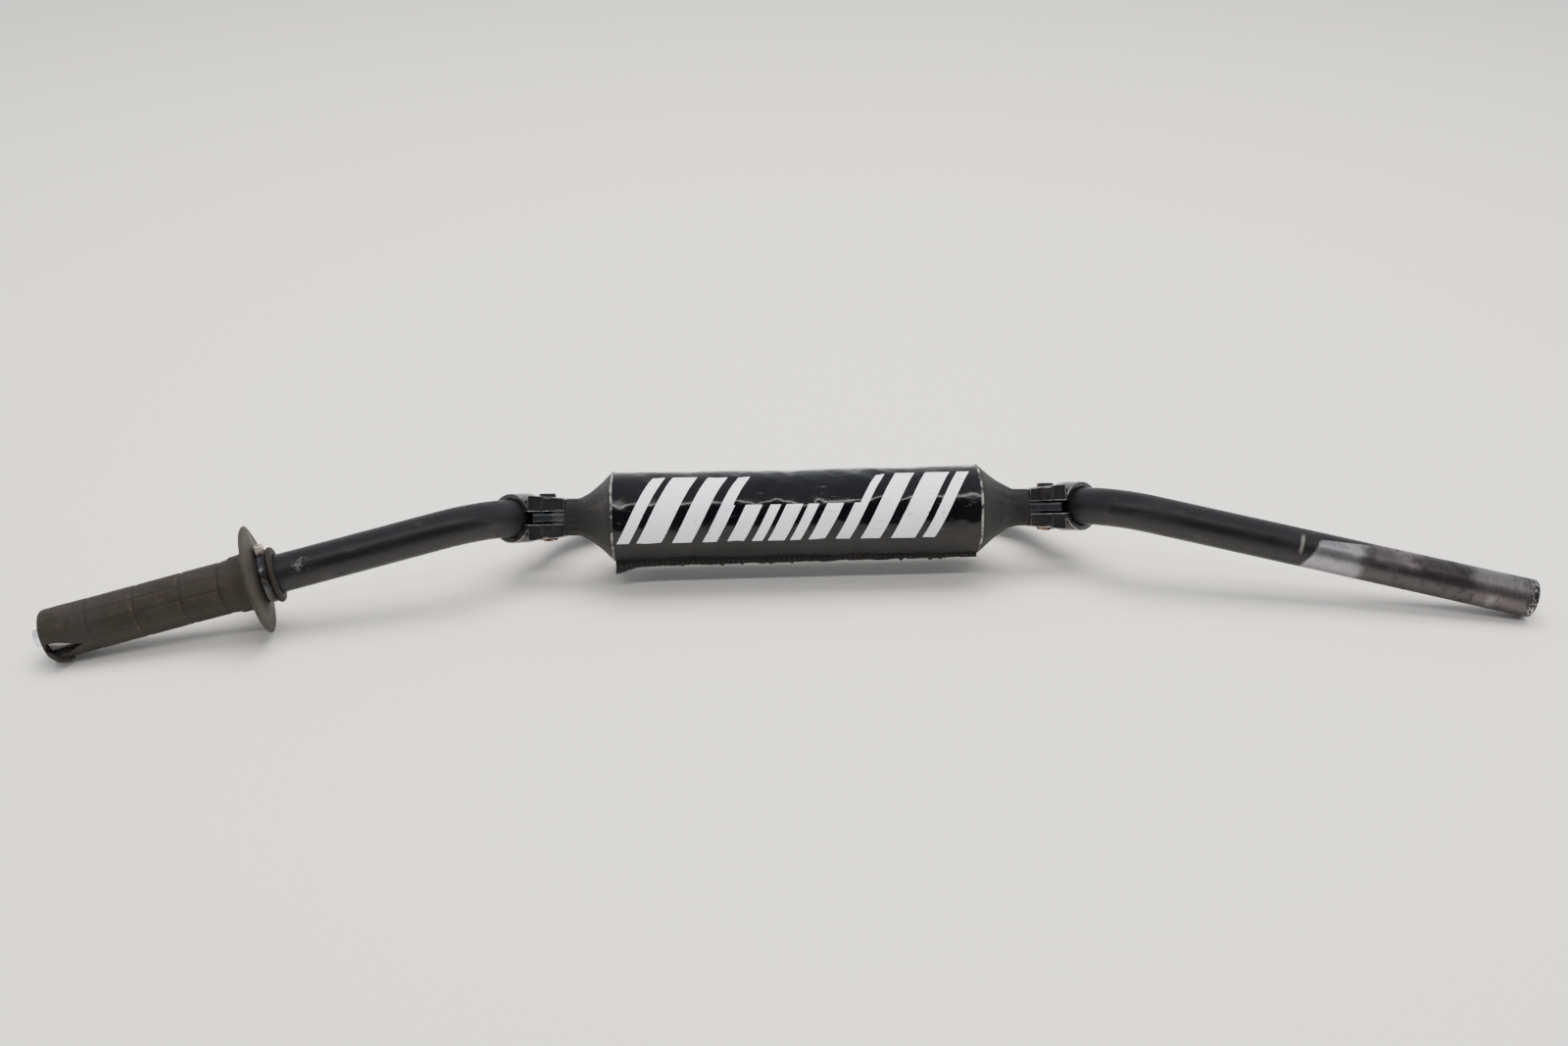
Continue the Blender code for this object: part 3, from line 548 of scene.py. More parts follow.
def apply_modifiers(thing):
    graph = bpy.context.evaluated_depsgraph_get()
    graph.update()
    mesh = bpy.data.meshes.new_from_object(thing.evaluated_get(graph), preserve_all_data_layers=True,
                                           depsgraph=graph)
    thing.modifiers.clear()
    old, thing.data = thing.data, mesh
    bpy.data.meshes.remove(old)
    return thing


def combine(thing, helper, operation):
    """Applies a Boolean with a helper and removes the helper."""
    modifier = thing.modifiers.new("shape", "BOOLEAN")
    modifier.operation = operation
    modifier.object = helper
    modifier.solver = "EXACT"
    apply_modifiers(thing)
    bpy.data.objects.remove(helper)
    return thing


def lathe_mesh(profile, sides, closed=False):
    """A profile of (radius, height) in mm turned about Z. An open one has both its ends closed flat."""
    bm = bmesh.new()
    rings = []
    for radius, height in profile:
        rings.append(add_ring(bm, lambda a, r, h=height * MM: (r * math.cos(a), r * math.sin(a), h), sides,
                              lambda a, r=radius * MM: r))
    bridge_all(bm, rings, closed)
    if not closed:
        close_ends(bm, rings)
    return bm


def prism_mesh(radius, low, high):
    """A hexagonal prism along Z, in mm."""
    bm = bmesh.new()
    rings = [[bm.verts.new((radius * MM * math.cos(math.tau * i / 6), radius * MM * math.sin(math.tau * i / 6),
                            h * MM)) for i in range(6)] for h in (low, high)]
    bridge(bm, *rings)
    close_ends(bm, rings)
    return bm


# ---- centreline of the tube ----
def fillet(before, corner, after, radius, steps):
    back = (before - corner).normalized()
    on = (after - corner).normalized()
    half = back.angle(on) / 2
    centre = corner + (back + on).normalized() * (radius / math.sin(half))
    start = corner + back * (radius / math.tan(half)) - centre
    end = corner + on * (radius / math.tan(half)) - centre
    return [centre + start.slerp(end, i / steps) * radius / start.slerp(end, i / steps).length
            for i in range(steps + 1)]


def spaced(points, step):
    """The same line with no two points further apart than step."""
    line = [points[0]]
    for here, there in zip(points, points[1:]):
        count = max(1, math.ceil((there - here).length / step))
        line += [here.lerp(there, i / count) for i in range(1, count + 1)]
    return line


def bar_line():
    lower = Vector((LOWER_CORNER_X, 0, 0))
    upper = Vector((UPPER_CORNER_X, 0, UPPER_CORNER_Z))
    end = Vector((HALF_WIDTH, -END_SWEEP, END_RISE))
    right = fillet(Vector((0, 0, 0)), lower, upper, BEND_RADIUS, 18)
    right += [*fillet(lower, upper, end, BEND_RADIUS, 18), end]
    left = [Vector((-p.x, p.y, p.z)) for p in reversed(right)]
    return spaced([*left, *right], 2.6 * MM), right


LINE, RIGHT_LINE = bar_line()
RIGHT_END = RIGHT_LINE[-1]
RIGHT_OUTWARD = (RIGHT_LINE[-1] - RIGHT_LINE[-2]).normalized()
LEFT_END = Vector((-RIGHT_END.x, RIGHT_END.y, RIGHT_END.z))
LEFT_OUTWARD = Vector((-RIGHT_OUTWARD.x, RIGHT_OUTWARD.y, RIGHT_OUTWARD.z))
GRIP = BAR @ turned_frame(LEFT_END, LEFT_OUTWARD)


def make_tube():
    """The bent tube, wall and all: outside from left to right, then back along the bore."""
    sides = 72
    chamfer = 0.6 * MM
    bore = TUBE_RADIUS - TUBE_WALL
    bm = bmesh.new()
    layers = [bm.verts.layers.float.new(name) for name in ("u", "up", "towards")]
    tangents = []
    for i, point in enumerate(LINE):
        before, after = LINE[max(i - 1, 0)], LINE[min(i + 1, len(LINE) - 1)]
        tangents.append((after - before).normalized())
    stations = [(LINE[0], tangents[0], bore + 0.3 * MM), (LINE[0], tangents[0], TUBE_RADIUS - chamfer),
                (LINE[0] + tangents[0] * chamfer, tangents[0], TUBE_RADIUS)]
    stations += [(p, t, TUBE_RADIUS) for p, t in zip(LINE[1:-1], tangents[1:-1])]
    last, out = LINE[-1], tangents[-1]
    stations += [(last - out * chamfer, out, TUBE_RADIUS),
                 (last - out * 0.25 * MM, out, TUBE_RADIUS - 0.25 * MM),
                 (last, out, TUBE_RADIUS - chamfer), (last, out, bore + 0.3 * MM),
                 (last - out * 0.4 * MM, out, bore)]
    inner = list(zip(LINE, tangents))[2:-2:4]
    stations += [(p, t, bore) for p, t in reversed(inner)]
    stations.append((LINE[0] + tangents[0] * 0.4 * MM, tangents[0], bore))
    rings = []
    for centre, tangent, radius in stations:
        across = (Vector((0, 1, 0)) - tangent * tangent.y).normalized()
        towards = tangent.cross(across)
        ring = []
        for i in range(sides):
            angle = math.tau * i / sides
            out_of = across * math.cos(angle) + towards * math.sin(angle)
            vertex = bm.verts.new(centre + out_of * radius)
            for layer, value in zip(layers, (centre.x / MM, math.cos(angle), math.sin(angle))):
                vertex[layer] = value
            ring.append(vertex)
        rings.append(ring)
    bridge_all(bm, rings, closed=True)
    dress(to_object("bar_tube_surface", bm, BAR), paint_look(), "bar", "black_paint", "bar_tube", sharp=30)


# ---- clamps ----
def mark_wear(thing, reach=7):
    """Stores how much each point stands proud of its surroundings, from 0 in hollows to 1 on worn edges."""
    mesh = thing.data
    bm = bmesh.new()
    bm.from_mesh(mesh)
    bm.normal_update()
    smooth = [v.co.copy() for v in bm.verts]
    links = [[e.other_vert(v).index for e in v.link_edges] for v in bm.verts]
    for _ in range(reach):
        smooth = [sum((smooth[j] for j in near), p.copy()) / (len(near) + 1) for p, near in zip(smooth, links)]
    proud = [(v.co - s).dot(v.normal) for v, s in zip(bm.verts, smooth)]
    bm.free()
    values = [min(1.0, max(0.0, 0.25 + p / (0.38 * MM))) for p in proud]
    mesh.attributes.new("wear", "FLOAT", "POINT").data.foreach_set("value", values)


def make_clamp(side, where, brown):
    """The casting: the CAD's own solid, with its edges rounded over and roughened."""
    node = f"{where}_crossbar_clamp"
    source = NODES[node]
    thing = linked(node + "_casting", source.data.copy(), BAR)
    thing.data.transform(BAR.inverted())
    remesh = thing.modifiers.new("fine", "REMESH")
    remesh.mode = "VOXEL"
    remesh.voxel_size = 0.42 * MM
    smooth = thing.modifiers.new("cast", "SMOOTH")
    smooth.factor = 0.5
    smooth.iterations = 5
    apply_modifiers(thing)
    mesh = thing.data
    normals = [v.normal.copy() for v in mesh.vertices]
    for vertex, normal in zip(mesh.vertices, normals):
        bumps = noise.noise(vertex.co * 420) * 0.05
        bumps += noise.noise(vertex.co * 150 + Vector((3, side, 0))) * 0.09
        vertex.co += normal * bumps * MM
    mark_wear(thing)
    return dress(thing, cast_look(f"cast_{where}", brown), "bar", "cast_black", node, sharp=80)


def make_clamp_hardware(side, where):
    """The socket screw in the upper ear and the rusty nut under the lower one."""
    spot = Matrix.Translation(Vector((side * CLAMP_BOLT_X, 0, CROSSBAR_Z)))
    upright = BAR @ (spot @ Matrix.Rotation(-math.pi / 2, 4, "X"))
    seat = BOLT_SEAT_MM
    top = seat + 6
    profile = [(0.3, top), (4.2, top), (4.8, top - 0.25), (5, top - 0.8), (5, seat + 0.3), (4.8, seat),
               (3.05, seat), (3, seat - 1)]
    turns = 20
    foot = -(seat + 5.6)
    for i in range(turns + 1):
        profile.append((3 - (0.28 if i % 2 else 0), 2 + (foot - 1.5) * i / turns))
    profile += [(2.3, foot), (0.3, foot)]
    screw = to_object(f"{where}_clamp_screw", lathe_mesh(profile, 40), upright)
    for vertex in screw.data.vertices:
        spot = vertex.co
        if spot.z > (seat + 0.5) * MM and math.hypot(spot.x, spot.y) > 4.9 * MM:
            knurl = 1 - 0.018 * (1 + math.cos(20 * math.atan2(spot.y, spot.x)))
            spot.x *= knurl
            spot.y *= knurl
    combine(screw, to_object("socket", prism_mesh(2.9, top - 3.2, top + 1), upright), "DIFFERENCE")
    dress(screw, SCREW, "bar", "bolt_black", f"{where}_clamp_bolt")
    low, high = -(seat + 5), -seat
    nut = to_object(f"{where}_clamp_hex_nut", prism_mesh(5.75, low, high), upright)
    dome = [(0.3, high), (4.9, high), (5.75, high - 0.7), (5.75, low + 0.7), (4.9, low), (0.3, low)]
    combine(nut, to_object("dome", lathe_mesh(dome, 48), upright), "INTERSECT")
    bore = [(0.1, high + 1), (3.3, high + 1), (3.3, low - 1), (0.1, low - 1)]
    combine(nut, to_object("bore", lathe_mesh(bore, 32), upright), "DIFFERENCE")
    dress(nut, RUST, "bar", "rusty_steel", f"{where}_clamp_nut", sharp=25)


# ---- pad on the crossbar ----
PUFF_LIMIT = 1.1 * MM  # furthest that the cloth run may move a point
PUFF_FRAMES = 18
SHEET_THICKNESS = 1.1 * MM
PAD = BAR @ Matrix.Translation(Vector((PAD_SHIFT, 0, CROSSBAR_Z)))


def cap_radius(x, side):
    """Radius of the bell-shaped end, x measured from the pad's middle."""
    start = PAD_HALF + PIPING_RADIUS
    end = NECK_START - side * PAD_SHIFT
    share = min(1.0, max(0.0, (abs(x) - start) / (end - start)))
    return NECK_RADIUS + (PAD_RADIUS - NECK_RADIUS) * (1 - share) ** 1.55


def pad_station_list():
    """Positions along the pad, close together at the seams and on the bells."""
    spots = []
    for side in (-1, 1):
        neck = NECK_END - side * PAD_SHIFT
        start = PAD_HALF + PIPING_RADIUS
        count = 15
        spots += [side * (start + (neck - start) * i / count) for i in range(count + 1)]
    count = 74
    spots += [-PAD_HALF + 2 * PAD_HALF * i / count for i in range(count + 1)]
    return sorted(spots)


def make_pad_skin():
    """Cover and ends as one skin, puffed out by the foam in a short cloth run."""
    sides = 84
    stations = pad_station_list()
    bm = bmesh.new()
    rings = []
    for x in stations:
        full = cap_radius(x, 1 if x > 0 else -1)
        shrink = 0.5 * MM * math.cos(min(1.0, abs(x) / PAD_HALF) * math.pi / 2) + 0.12 * MM
        rings.append(add_ring(bm, lambda a, r, x=x: (x, r * math.cos(a), r * math.sin(a)), sides,
                              lambda a, r=full - shrink: r))
    bridge_all(bm, rings)
    skin = to_object("pad_skin", bm, PAD)
    shapes = [v.co.copy() for v in skin.data.vertices]
    puff(skin, stations, sides)
    for vertex, start in zip(skin.data.vertices, shapes):
        moved = vertex.co - start
        if moved.length > PUFF_LIMIT:
            vertex.co = start + moved * (PUFF_LIMIT / moved.length)
    for vertex in skin.data.vertices:
        spot = vertex.co
        outward = Vector((0, spot.y, spot.z)).normalized()
        turn = math.atan2(spot.y, spot.z)
        along = abs(spot.x)
        hold = min(1.0, abs(PAD_HALF - along) / (14 * MM))
        if along < PAD_HALF:
            left = 1.0 if spot.x < 0.01 else 0.45
            wave = noise.noise(Vector((spot.x * 36, turn * 1.0, 0.3))) * 0.16 * left
            wave += noise.noise(Vector((spot.x * 120, turn * 2.0, 4.1))) * 0.035 * left
            vertex.co += outward * wave * hold * MM
        else:
            pleat = noise.noise(Vector((turn * 5.5, spot.x * 60, 7.0))) * 0.55
            pleat += noise.noise(Vector((turn * 13, spot.x * 160, 1.7))) * 0.2
            vertex.co += outward * pleat * hold * MM
    subdivision = skin.modifiers.new("fine", "SUBSURF")
    subdivision.levels = subdivision.render_levels = 1
    apply_modifiers(skin)
    return skin


def puff(skin, stations, sides):
    """Pins the seams and necks, and lets pressure and a little spare cloth work on the rest."""
    pins = skin.vertex_groups.new(name="pins")
    for index, x in enumerate(stations):
        near_seam = abs(abs(x) - PAD_HALF) < 1.2 * MM
        at_neck = abs(x) > NECK_END - 3.5 * MM
        if near_seam or at_neck:
            pins.add(list(range(index * sides, (index + 1) * sides)), 1.0, "REPLACE")
    cloth = skin.modifiers.new("cloth", "CLOTH")
    settings = cloth.settings
    settings.vertex_group_mass = "pins"
    settings.quality = 5
    settings.mass = 0.25
    settings.use_pressure = True
    settings.uniform_pressure_force = 4.0
    settings.tension_stiffness = 25
    settings.compression_stiffness = 25
    settings.bending_stiffness = 0.4
    settings.shrink_min = -0.004
    settings.effector_weights.gravity = 0.0
    scene = bpy.context.scene
    for step in range(1, PUFF_FRAMES + 1):
        scene.frame_set(step)
    apply_modifiers(skin)
    scene.frame_set(1)
    skin.vertex_groups.clear()


def parted(skin, name, low, high, look, slot, nodes, sharp=60):
    """The stretch of the skin between two places along the pad, thickened inwards, as its own piece."""
    piece = linked(name, skin.data.copy(), PAD)
    bm = bmesh.new()
    bm.from_mesh(piece.data)
    gone = [f for f in bm.faces if not low < f.calc_center_median().x < high]
    bmesh.ops.delete(bm, geom=gone, context="FACES")
    bm.to_mesh(piece.data)
    bm.free()
    sheet = piece.modifiers.new("sheet", "SOLIDIFY")
    sheet.thickness = SHEET_THICKNESS
    sheet.offset = -1
    apply_modifiers(piece)
    return dress(piece, look, "pad", slot, *nodes, sharp=sharp)


def hem_drop(x):
    """How far the hem hangs off the pad, x in mm from the pad's middle: most at the left-hand end."""
    left_end = max(0.0, min(1.0, (-x - 82) / 24))
    drop = 3.4 - 0.006 * (x + 20) + 4.2 * left_end * left_end
    ragged = noise.noise(Vector((x * 0.09, 2.0, 0))) * 0.8 + noise.noise(Vector((x * 0.6, 5.0, 0))) * 0.35
    return (drop + ragged) * MM


def make_hem(name, side_of_seam, look):
    """One edge of the cover, turned out along the seam on the rider's side, with a rolled rim."""
    bm = bmesh.new()
    edge = bm.verts.layers.float.new("edge")
    length = PAD_HALF - 0.4 * MM
    count = 264
    rings = []
    for i in range(count + 1):
        x = -length + 2 * length * i / count
        reach = hem_drop(x / MM)
        sway = noise.noise(Vector((x * 45, side_of_seam, 0))) * 0.35 * MM
        middle = side_of_seam * 1.55 * MM
        half = 0.55 * MM
        section = [(-0.5, middle - half), (0.35, middle - half), (0.7, middle - half), (0.93, middle - half),
                   (1.0, middle - 0.5 * half), (1.02, middle), (1.0, middle + 0.5 * half),
                   (0.93, middle + half), (0.7, middle + half), (0.35, middle + half * 1.1),
                   (-0.5, middle + half * 1.6)]
        ring = []
        for share, z in section:
            vertex = bm.verts.new((x, -(PAD_RADIUS - 0.9 * MM) - (reach + 0.9 * MM) * share, z + sway * share))
            vertex[edge] = share
            ring.append(vertex)
        rings.append(ring)
    bridge_all(bm, rings)
    close_ends(bm, rings)
    dress(to_object(name, bm, PAD), look, "pad", "vinyl", sharp=50)


def make_fuzz(name, side_of_seam, node):
    """Half of the hook-and-loop strip between the hems: a thin band with a ragged, tufted edge."""
    bm = bmesh.new()
    length = PAD_HALF - 3.5 * MM
    count = 420
    rings = []
    for i in range(count + 1):
        x = -length + 2 * length * i / count
        reach = hem_drop(x / MM) - 0.2 * MM + noise.noise(Vector((x * 900, side_of_seam, 0))) * 0.75 * MM
        reach += max(0.0, noise.noise(Vector((x * 170, 9, side_of_seam))) - 0.25) * 3.2 * MM
        inner, outer = 0.08 * MM, 0.85 * MM
        ring = []
        for share, z in ((0, inner), (0.6, inner), (1, inner + 0.2 * MM), (1.03, outer * 0.6), (1, outer),
                         (0.6, outer), (0, outer)):
            y = -(PAD_RADIUS - 0.5 * MM) - (reach + 0.5 * MM) * share
            rough = noise.noise(Vector((x * 700, share * 9, side_of_seam * 3))) * 0.12 * MM
            ring.append(bm.verts.new((x, y, side_of_seam * (z + max(-0.05 * MM, rough)))))
        rings.append(ring)
    bridge_all(bm, rings)
    close_ends(bm, rings)
    return dress(to_object(name, bm, PAD), FUZZ, "pad", "hook_and_loop", node, sharp=50)


def make_piping(side, where):
    """A thin corded edge round the seam, slightly uneven."""
    bm = bmesh.new()
    rings = []
    count = 168
    for i in range(count):
        turn = math.tau * i / count
        uneven = noise.noise(Vector((math.cos(turn) * 3, math.sin(turn) * 3, side * 5)))
        centre = PAD_RADIUS - 0.45 * MM + uneven * 0.22 * MM
        shift = noise.noise(Vector((math.cos(turn) * 2, math.sin(turn) * 2, side * 9))) * 0.5 * MM
        thick = PIPING_RADIUS * (1 + 0.18 * noise.noise(Vector((turn * 14, side, 0))))
        ring = []
        for j in range(10):
            around = math.tau * j / 10
            radius = centre + thick * math.cos(around)
            ring.append(bm.verts.new((side * PAD_HALF + shift + thick * math.sin(around),
                                      radius * math.sin(turn), radius * math.cos(turn))))
        rings.append(ring)
    bridge_all(bm, rings, closed=True)
    dress(to_object(f"{where}_piping_cord", bm, PAD), PIPING, "pad", "piping", f"pad_{where}_piping", sharp=60)


def make_elastic(side, where):
    """Ribbed elastic inside the neck."""
    bm = bmesh.new()
    rings = []
    for x, radius in ((-2, 9.2), (-1.2, 9.45), (0, 9.5), (1.2, 9.45), (2, 9.2), (2, 8.7), (0, 8.65),
                      (-2, 8.7)):
        rings.append(add_ring(bm, lambda a, r, x=x: (side * (NECK_END - 3 * MM) - PAD_SHIFT + x * MM,
                                                     r * math.cos(a), r * math.sin(a)), 96,
                              lambda a, r=radius: (r + 0.1 * math.cos(32 * a)) * MM))
    bridge_all(bm, rings, closed=True)
    dress(to_object(f"{where}_neck_elastic", bm, PAD), ELASTIC, "pad", "elastic", f"pad_{where}_neck_elastic")


def make_pad():
    skin = make_pad_skin()
    seam = PAD_HALF + 0.4 * MM
    cover = parted(skin, "pad_cover_skin", -seam, seam, vinyl_look(), "vinyl", ("pad_cover", "pad_foam_core"))
    knit = knit_look()
    left = parted(skin, "pad_left_bell", -1, -seam, knit, "neoprene", ("pad_left_end_cap",))
    right = parted(skin, "pad_right_bell", seam, 1, knit, "neoprene", ("pad_right_end_cap",))
    bpy.data.objects.remove(skin)
    hem = hem_look()
    make_hem("cover_hem_upper", 1, hem)
    make_hem("cover_hem_lower", -1, hem)
    make_fuzz("hook_band", 1, "pad_hook_strip")
    make_fuzz("loop_band", -1, "pad_loop_strip")
    for side, where in ((-1, "left"), (1, "right")):
        make_piping(side, where)
        make_elastic(side, where)


# ---- grip ----
GROOVES = (24.0, 50.0, 75.0, 96.0)  # mm from the tube's end to each cross groove
PANELS = 12


def groove_depth(depth_mm, angle):
    """How deep the moulded pattern is cut here, 0 to 1: cross grooves, and lengthwise ones between panels."""
    if depth_mm < 12 or depth_mm > 99:
        return 0.0
    wander = 0.5 * math.sin(angle * 2 + depth_mm * 0.02)
    cross = max(max(0.0, 1 - abs(depth_mm + wander - g) / 1.5) for g in GROOVES)
    across = (angle / math.tau * PANELS) % 1.0
    near = min(across, 1 - across) * math.tau * 15 / PANELS
    worn_out = min(1.0, max(0.0, (depth_mm - 12) / 22))
    lengthwise = max(0.0, 1 - near / 1.1) * 0.75
    return max(cross, lengthwise) * (0.25 + 0.75 * worn_out)


def grip_profile():
    """(depth into the tube in mm, radius in mm, part of the grip) down the outside, then back up the bore."""
    outer = [(-2.6, 8.6, 0), (-2.6, 11.6, 0), (-2.3, 13.2, 0), (-1.4, 14.2, 0), (-0.2, 14.55, 0)]
    depth = 1.2
    while depth < 100.4:
        outer.append((depth, 14.6 + 0.5 * depth / 101, 1))
        depth += 0.75
    outer += [(101.0, 15.1, 0), (101.5, 15.5, 0), (102.2, 15.95, 0), (103.2, 16.1, 0), (105.2, 16.15, 0),
              (107.2, 16.3, 0), (108.6, 16.8, 0), (109.8, 17.9, 0), (110.7, 19.4, 0), (111.4, 21.2, 0),
              (112.1, 24.0, 0), (112.5, 27.0, 2), (112.6, 29.2, 2), (112.9, 30.3, 2), (113.4, 30.9, 2),
              (114.0, 31.0, 2), (114.6, 30.8, 2), (115.1, 30.1, 2), (115.3, 28.8, 2), (115.5, 25.0, 2),
              (116.2, 20.0, 2), (116.9, 16.0, 2), (117.2, 14.2, 0), (117.5, 13.4, 0), (119.0, 13.35, 0),
              (121.0, 13.35, 0), (122.5, 13.4, 0), (122.8, 14.4, 0), (123.1, 15.6, 0), (123.9, 16.1, 0),
              (125.0, 15.9, 0), (125.8, 15.3, 0), (126.0, 14.4, 0)]
    inner = [(126.0, 11.8, 0), (125.6, 11.5, 0), (90, 11.5, 0), (50, 11.5, 0), (10, 11.5, 0), (0.4, 11.5, 0),
             (-0.4, 11.4, 0), (-0.4, 8.6, 0)]
    return outer, inner


def make_grip():
    sides = 168
    outer, inner = grip_profile()
    bm = bmesh.new()
    groove = bm.verts.layers.float.new("groove")
    lip = bm.verts.layers.float.new("lip")
    rings = []
    for depth, radius, part in [*outer, *inner]:
        ring = []
        for i in range(sides):
            angle = math.tau * i / sides
            cut = groove_depth(depth, angle) if part == 1 else 0.0
            out = radius - 0.5 * cut
            if part == 1:
                facet = math.cos(((angle / math.tau * PANELS) % 1.0 - 0.5) * math.tau / PANELS)
                out *= 1 - 0.55 * (facet - 0.966) * min(1.0, max(0.0, (depth - 10) / 20))
            spot = Vector((math.cos(angle), math.sin(angle), depth * 0.02))
            if part != 0 or depth < 110:
                out += noise.noise(spot * 2.2) * 0.16 + noise.noise(spot * 9) * 0.05
            slip = noise.noise(spot * 1.3) * 0.9 + math.cos(angle - 1.0) * 0.5 if part == 2 else 0.0
            vertex = bm.verts.new((out * math.cos(angle) * MM, out * math.sin(angle) * MM,
                                   -(depth + slip) * MM))
            # the recess behind the flange gets a high groove value, so it takes the painted shade
            vertex[groove] = 0.85 if depth > 116.5 else cut
            ring_edge = groove_depth(depth, angle + 0.05) + groove_depth(depth + 1.6, angle)
            vertex[lip] = min(1.0, max(0.0, ring_edge - 1.2 * cut)) if part == 1 else 0.0
            ring.append(vertex)
        rings.append(ring)
    bridge_all(bm, rings, closed=True)
    grip = to_object("left_grip_rubber", bm, GRIP)
    tear_grip(grip)
    rubber = rubber_look("grip_rubber", False)
    dress(grip, rubber, "bar", "grip_rubber", "left_grip", sharp=45)
    grip.data.materials.append(rubber_look("grip_flange", True))
    for face in grip.data.polygons:
        spot = GRIP.inverted() @ face.center
        if math.hypot(spot.x, spot.y) > 18.5 * MM and -119 * MM < spot.z < -108 * MM:
            face.material_index = 1
    make_torn_flap(rubber)


def tear_direction():
    """Unit vector in the grip's frame towards the torn side: rider's side and up."""
    local = (GRIP.inverted() @ BAR).to_3x3() @ Vector((0, -0.66, 0.75))
    local.z = 0
    return local.normalized()


def tear_grip(grip):
    """Cuts a ragged, pointed tear into the outer end."""
    out = tear_direction()
    side = Vector((-out.y, out.x, 0))
    bm = bmesh.new()
    outline = [(-1.1, 3.2), (0.5, 4.7), (3.0, 5.6), (6.0, 5.2), (9.0, 3.9), (12.0, 2.6), (15.0, 1.1),
               (18.0, 0.15)]
    left = [(d, w * (1 + 0.18 * math.sin(d * 2.1))) for d, w in outline]
    right = [(d, -w * (1 + 0.22 * math.sin(d * 1.6 + 1))) for d, w in reversed(outline)]
    rings = []
    for reach in (10.9 * MM, 19 * MM):
        rings.append([bm.verts.new(out * reach + side * w * MM * (reach / (15 * MM)) + Vector((0, 0, -d * MM)))
                      for d, w in left + right])
    bridge(bm, *rings)
    close_ends(bm, rings)
    combine(grip, to_object("tear", bm, GRIP), "DIFFERENCE")


def make_torn_flap(rubber):
    """The strip of rubber that the tear left hanging at the end, curled outwards and down."""
    out = tear_direction()
    side = Vector((-out.y, out.x, 0))
    down = (GRIP.inverted() @ BAR).to_3x3() @ Vector((0, -0.99, 0.12))
    down.z = 0
    down.normalize()
    if side.dot(down) < 0:
        side = -side
    bm = bmesh.new()
    groove = bm.verts.layers.float.new("groove")
    rings = []
    count = 16
    for i in range(count + 1):
        share = i / count
        angle_out = (out * (1 - share) + down * share).normalized()
        reach = 13.2 + 3.4 * math.sin(math.pi * (0.12 + 0.72 * share))
        centre = angle_out * reach * MM + side * 1.2 * (1 - share) * MM
        centre.z = (0.6 - 10 * share) * MM
        thick = (1.5 + 0.6 * math.sin(share * 7)) * (1 - 0.55 * share ** 3) * MM
        ring = []
        for j in range(12):
            around = math.tau * j / 12
            lump = 1 + 0.28 * noise.noise(Vector((share * 6, math.cos(around), math.sin(around))))
            point = centre + angle_out * math.cos(around) * thick * 0.8 * lump
            point += side * math.sin(around) * thick * 1.1 * lump
            vertex = bm.verts.new(point)
            # a little of the grooves' painted shade on the flap
            vertex[groove] = 0.35
            ring.append(vertex)
        rings.append(ring)
    bridge_all(bm, rings)
    close_ends(bm, rings)
    dress(to_object("grip_torn_flap", bm, GRIP), rubber, "bar", "grip_rubber", sharp=70)


# ---- cable tie ----
def make_box(name, size_mm, where, shift=0.0):
    """A box with its sizes in mm, moved along its Y by shift."""
    bm = bmesh.new()
    bmesh.ops.create_cube(bm, size=1.0, matrix=Matrix.Diagonal((*(size * MM for size in size_mm), 1)))
    for vertex in bm.verts:
        vertex.co.y += shift
    return to_object(name, bm, where)


def round_over(thing, width, segments):
    bevel = thing.modifiers.new("round", "BEVEL")
    bevel.width = width
    bevel.segments = segments
    apply_modifiers(thing)


def make_tie():
    """The strap in the groove behind the flange, its toothed face in, with its head and cut tail on top."""
    bm = bmesh.new()
    rings = []
    half = 2.1
    for radius, z in ((13.8, -half), (14.75, -half), (14.95, -half + 0.35), (14.8, -0.9), (14.8, 0.9),
                      (14.95, half - 0.35), (14.75, half), (13.8, half)):
        rings.append(add_ring(bm, lambda a, r, z=z: (r * math.cos(a), r * math.sin(a), -TIE_AT + z * MM), 192,
                              lambda a, r=radius: r * MM * (1 + 0.004 * math.cos(96 * a) * (abs(z) < 1))))
    bridge_all(bm, rings, closed=True)
    dress(to_object("tie_strap", bm, GRIP), nylon_look(), "bar", "nylon", "grip_cable_tie")
    upward = (GRIP.inverted() @ BAR).to_3x3() @ Vector((0, 0.94, 0.34))
    upward.z = 0
    upward.normalize()
    across = upward.cross(Vector((0, 0, 1)))
    turn = Matrix((across, Vector((0, 0, 1)).cross(across) * -1, Vector((0, 0, 1)))).transposed()
    if turn.determinant() < 0:
        turn.col[0] = -turn.col[0]
    seat = GRIP @ Matrix.Translation(upward * 16.7 * MM + Vector((0, 0, -TIE_AT))) @ turn.to_4x4()
    head = make_box("tie_head", (5.4, 5.6, 4.8), seat)
    round_over(head, 0.7 * MM, 3)
    combine(head, make_box("window", (1.5, 9, 3), seat), "DIFFERENCE")
    # the head's pale colour is partly a painted highlight, partly dust
    dress(head, tie_head_highlight_and_dust_look(), "bar", "nylon")
    tail = make_box("tie_tail", (1.1, 5.2, 2.7), seat, 1.2 * MM)
    round_over(tail, 0.25 * MM, 2)
    dress(tail, nylon_look(), "bar", "nylon")


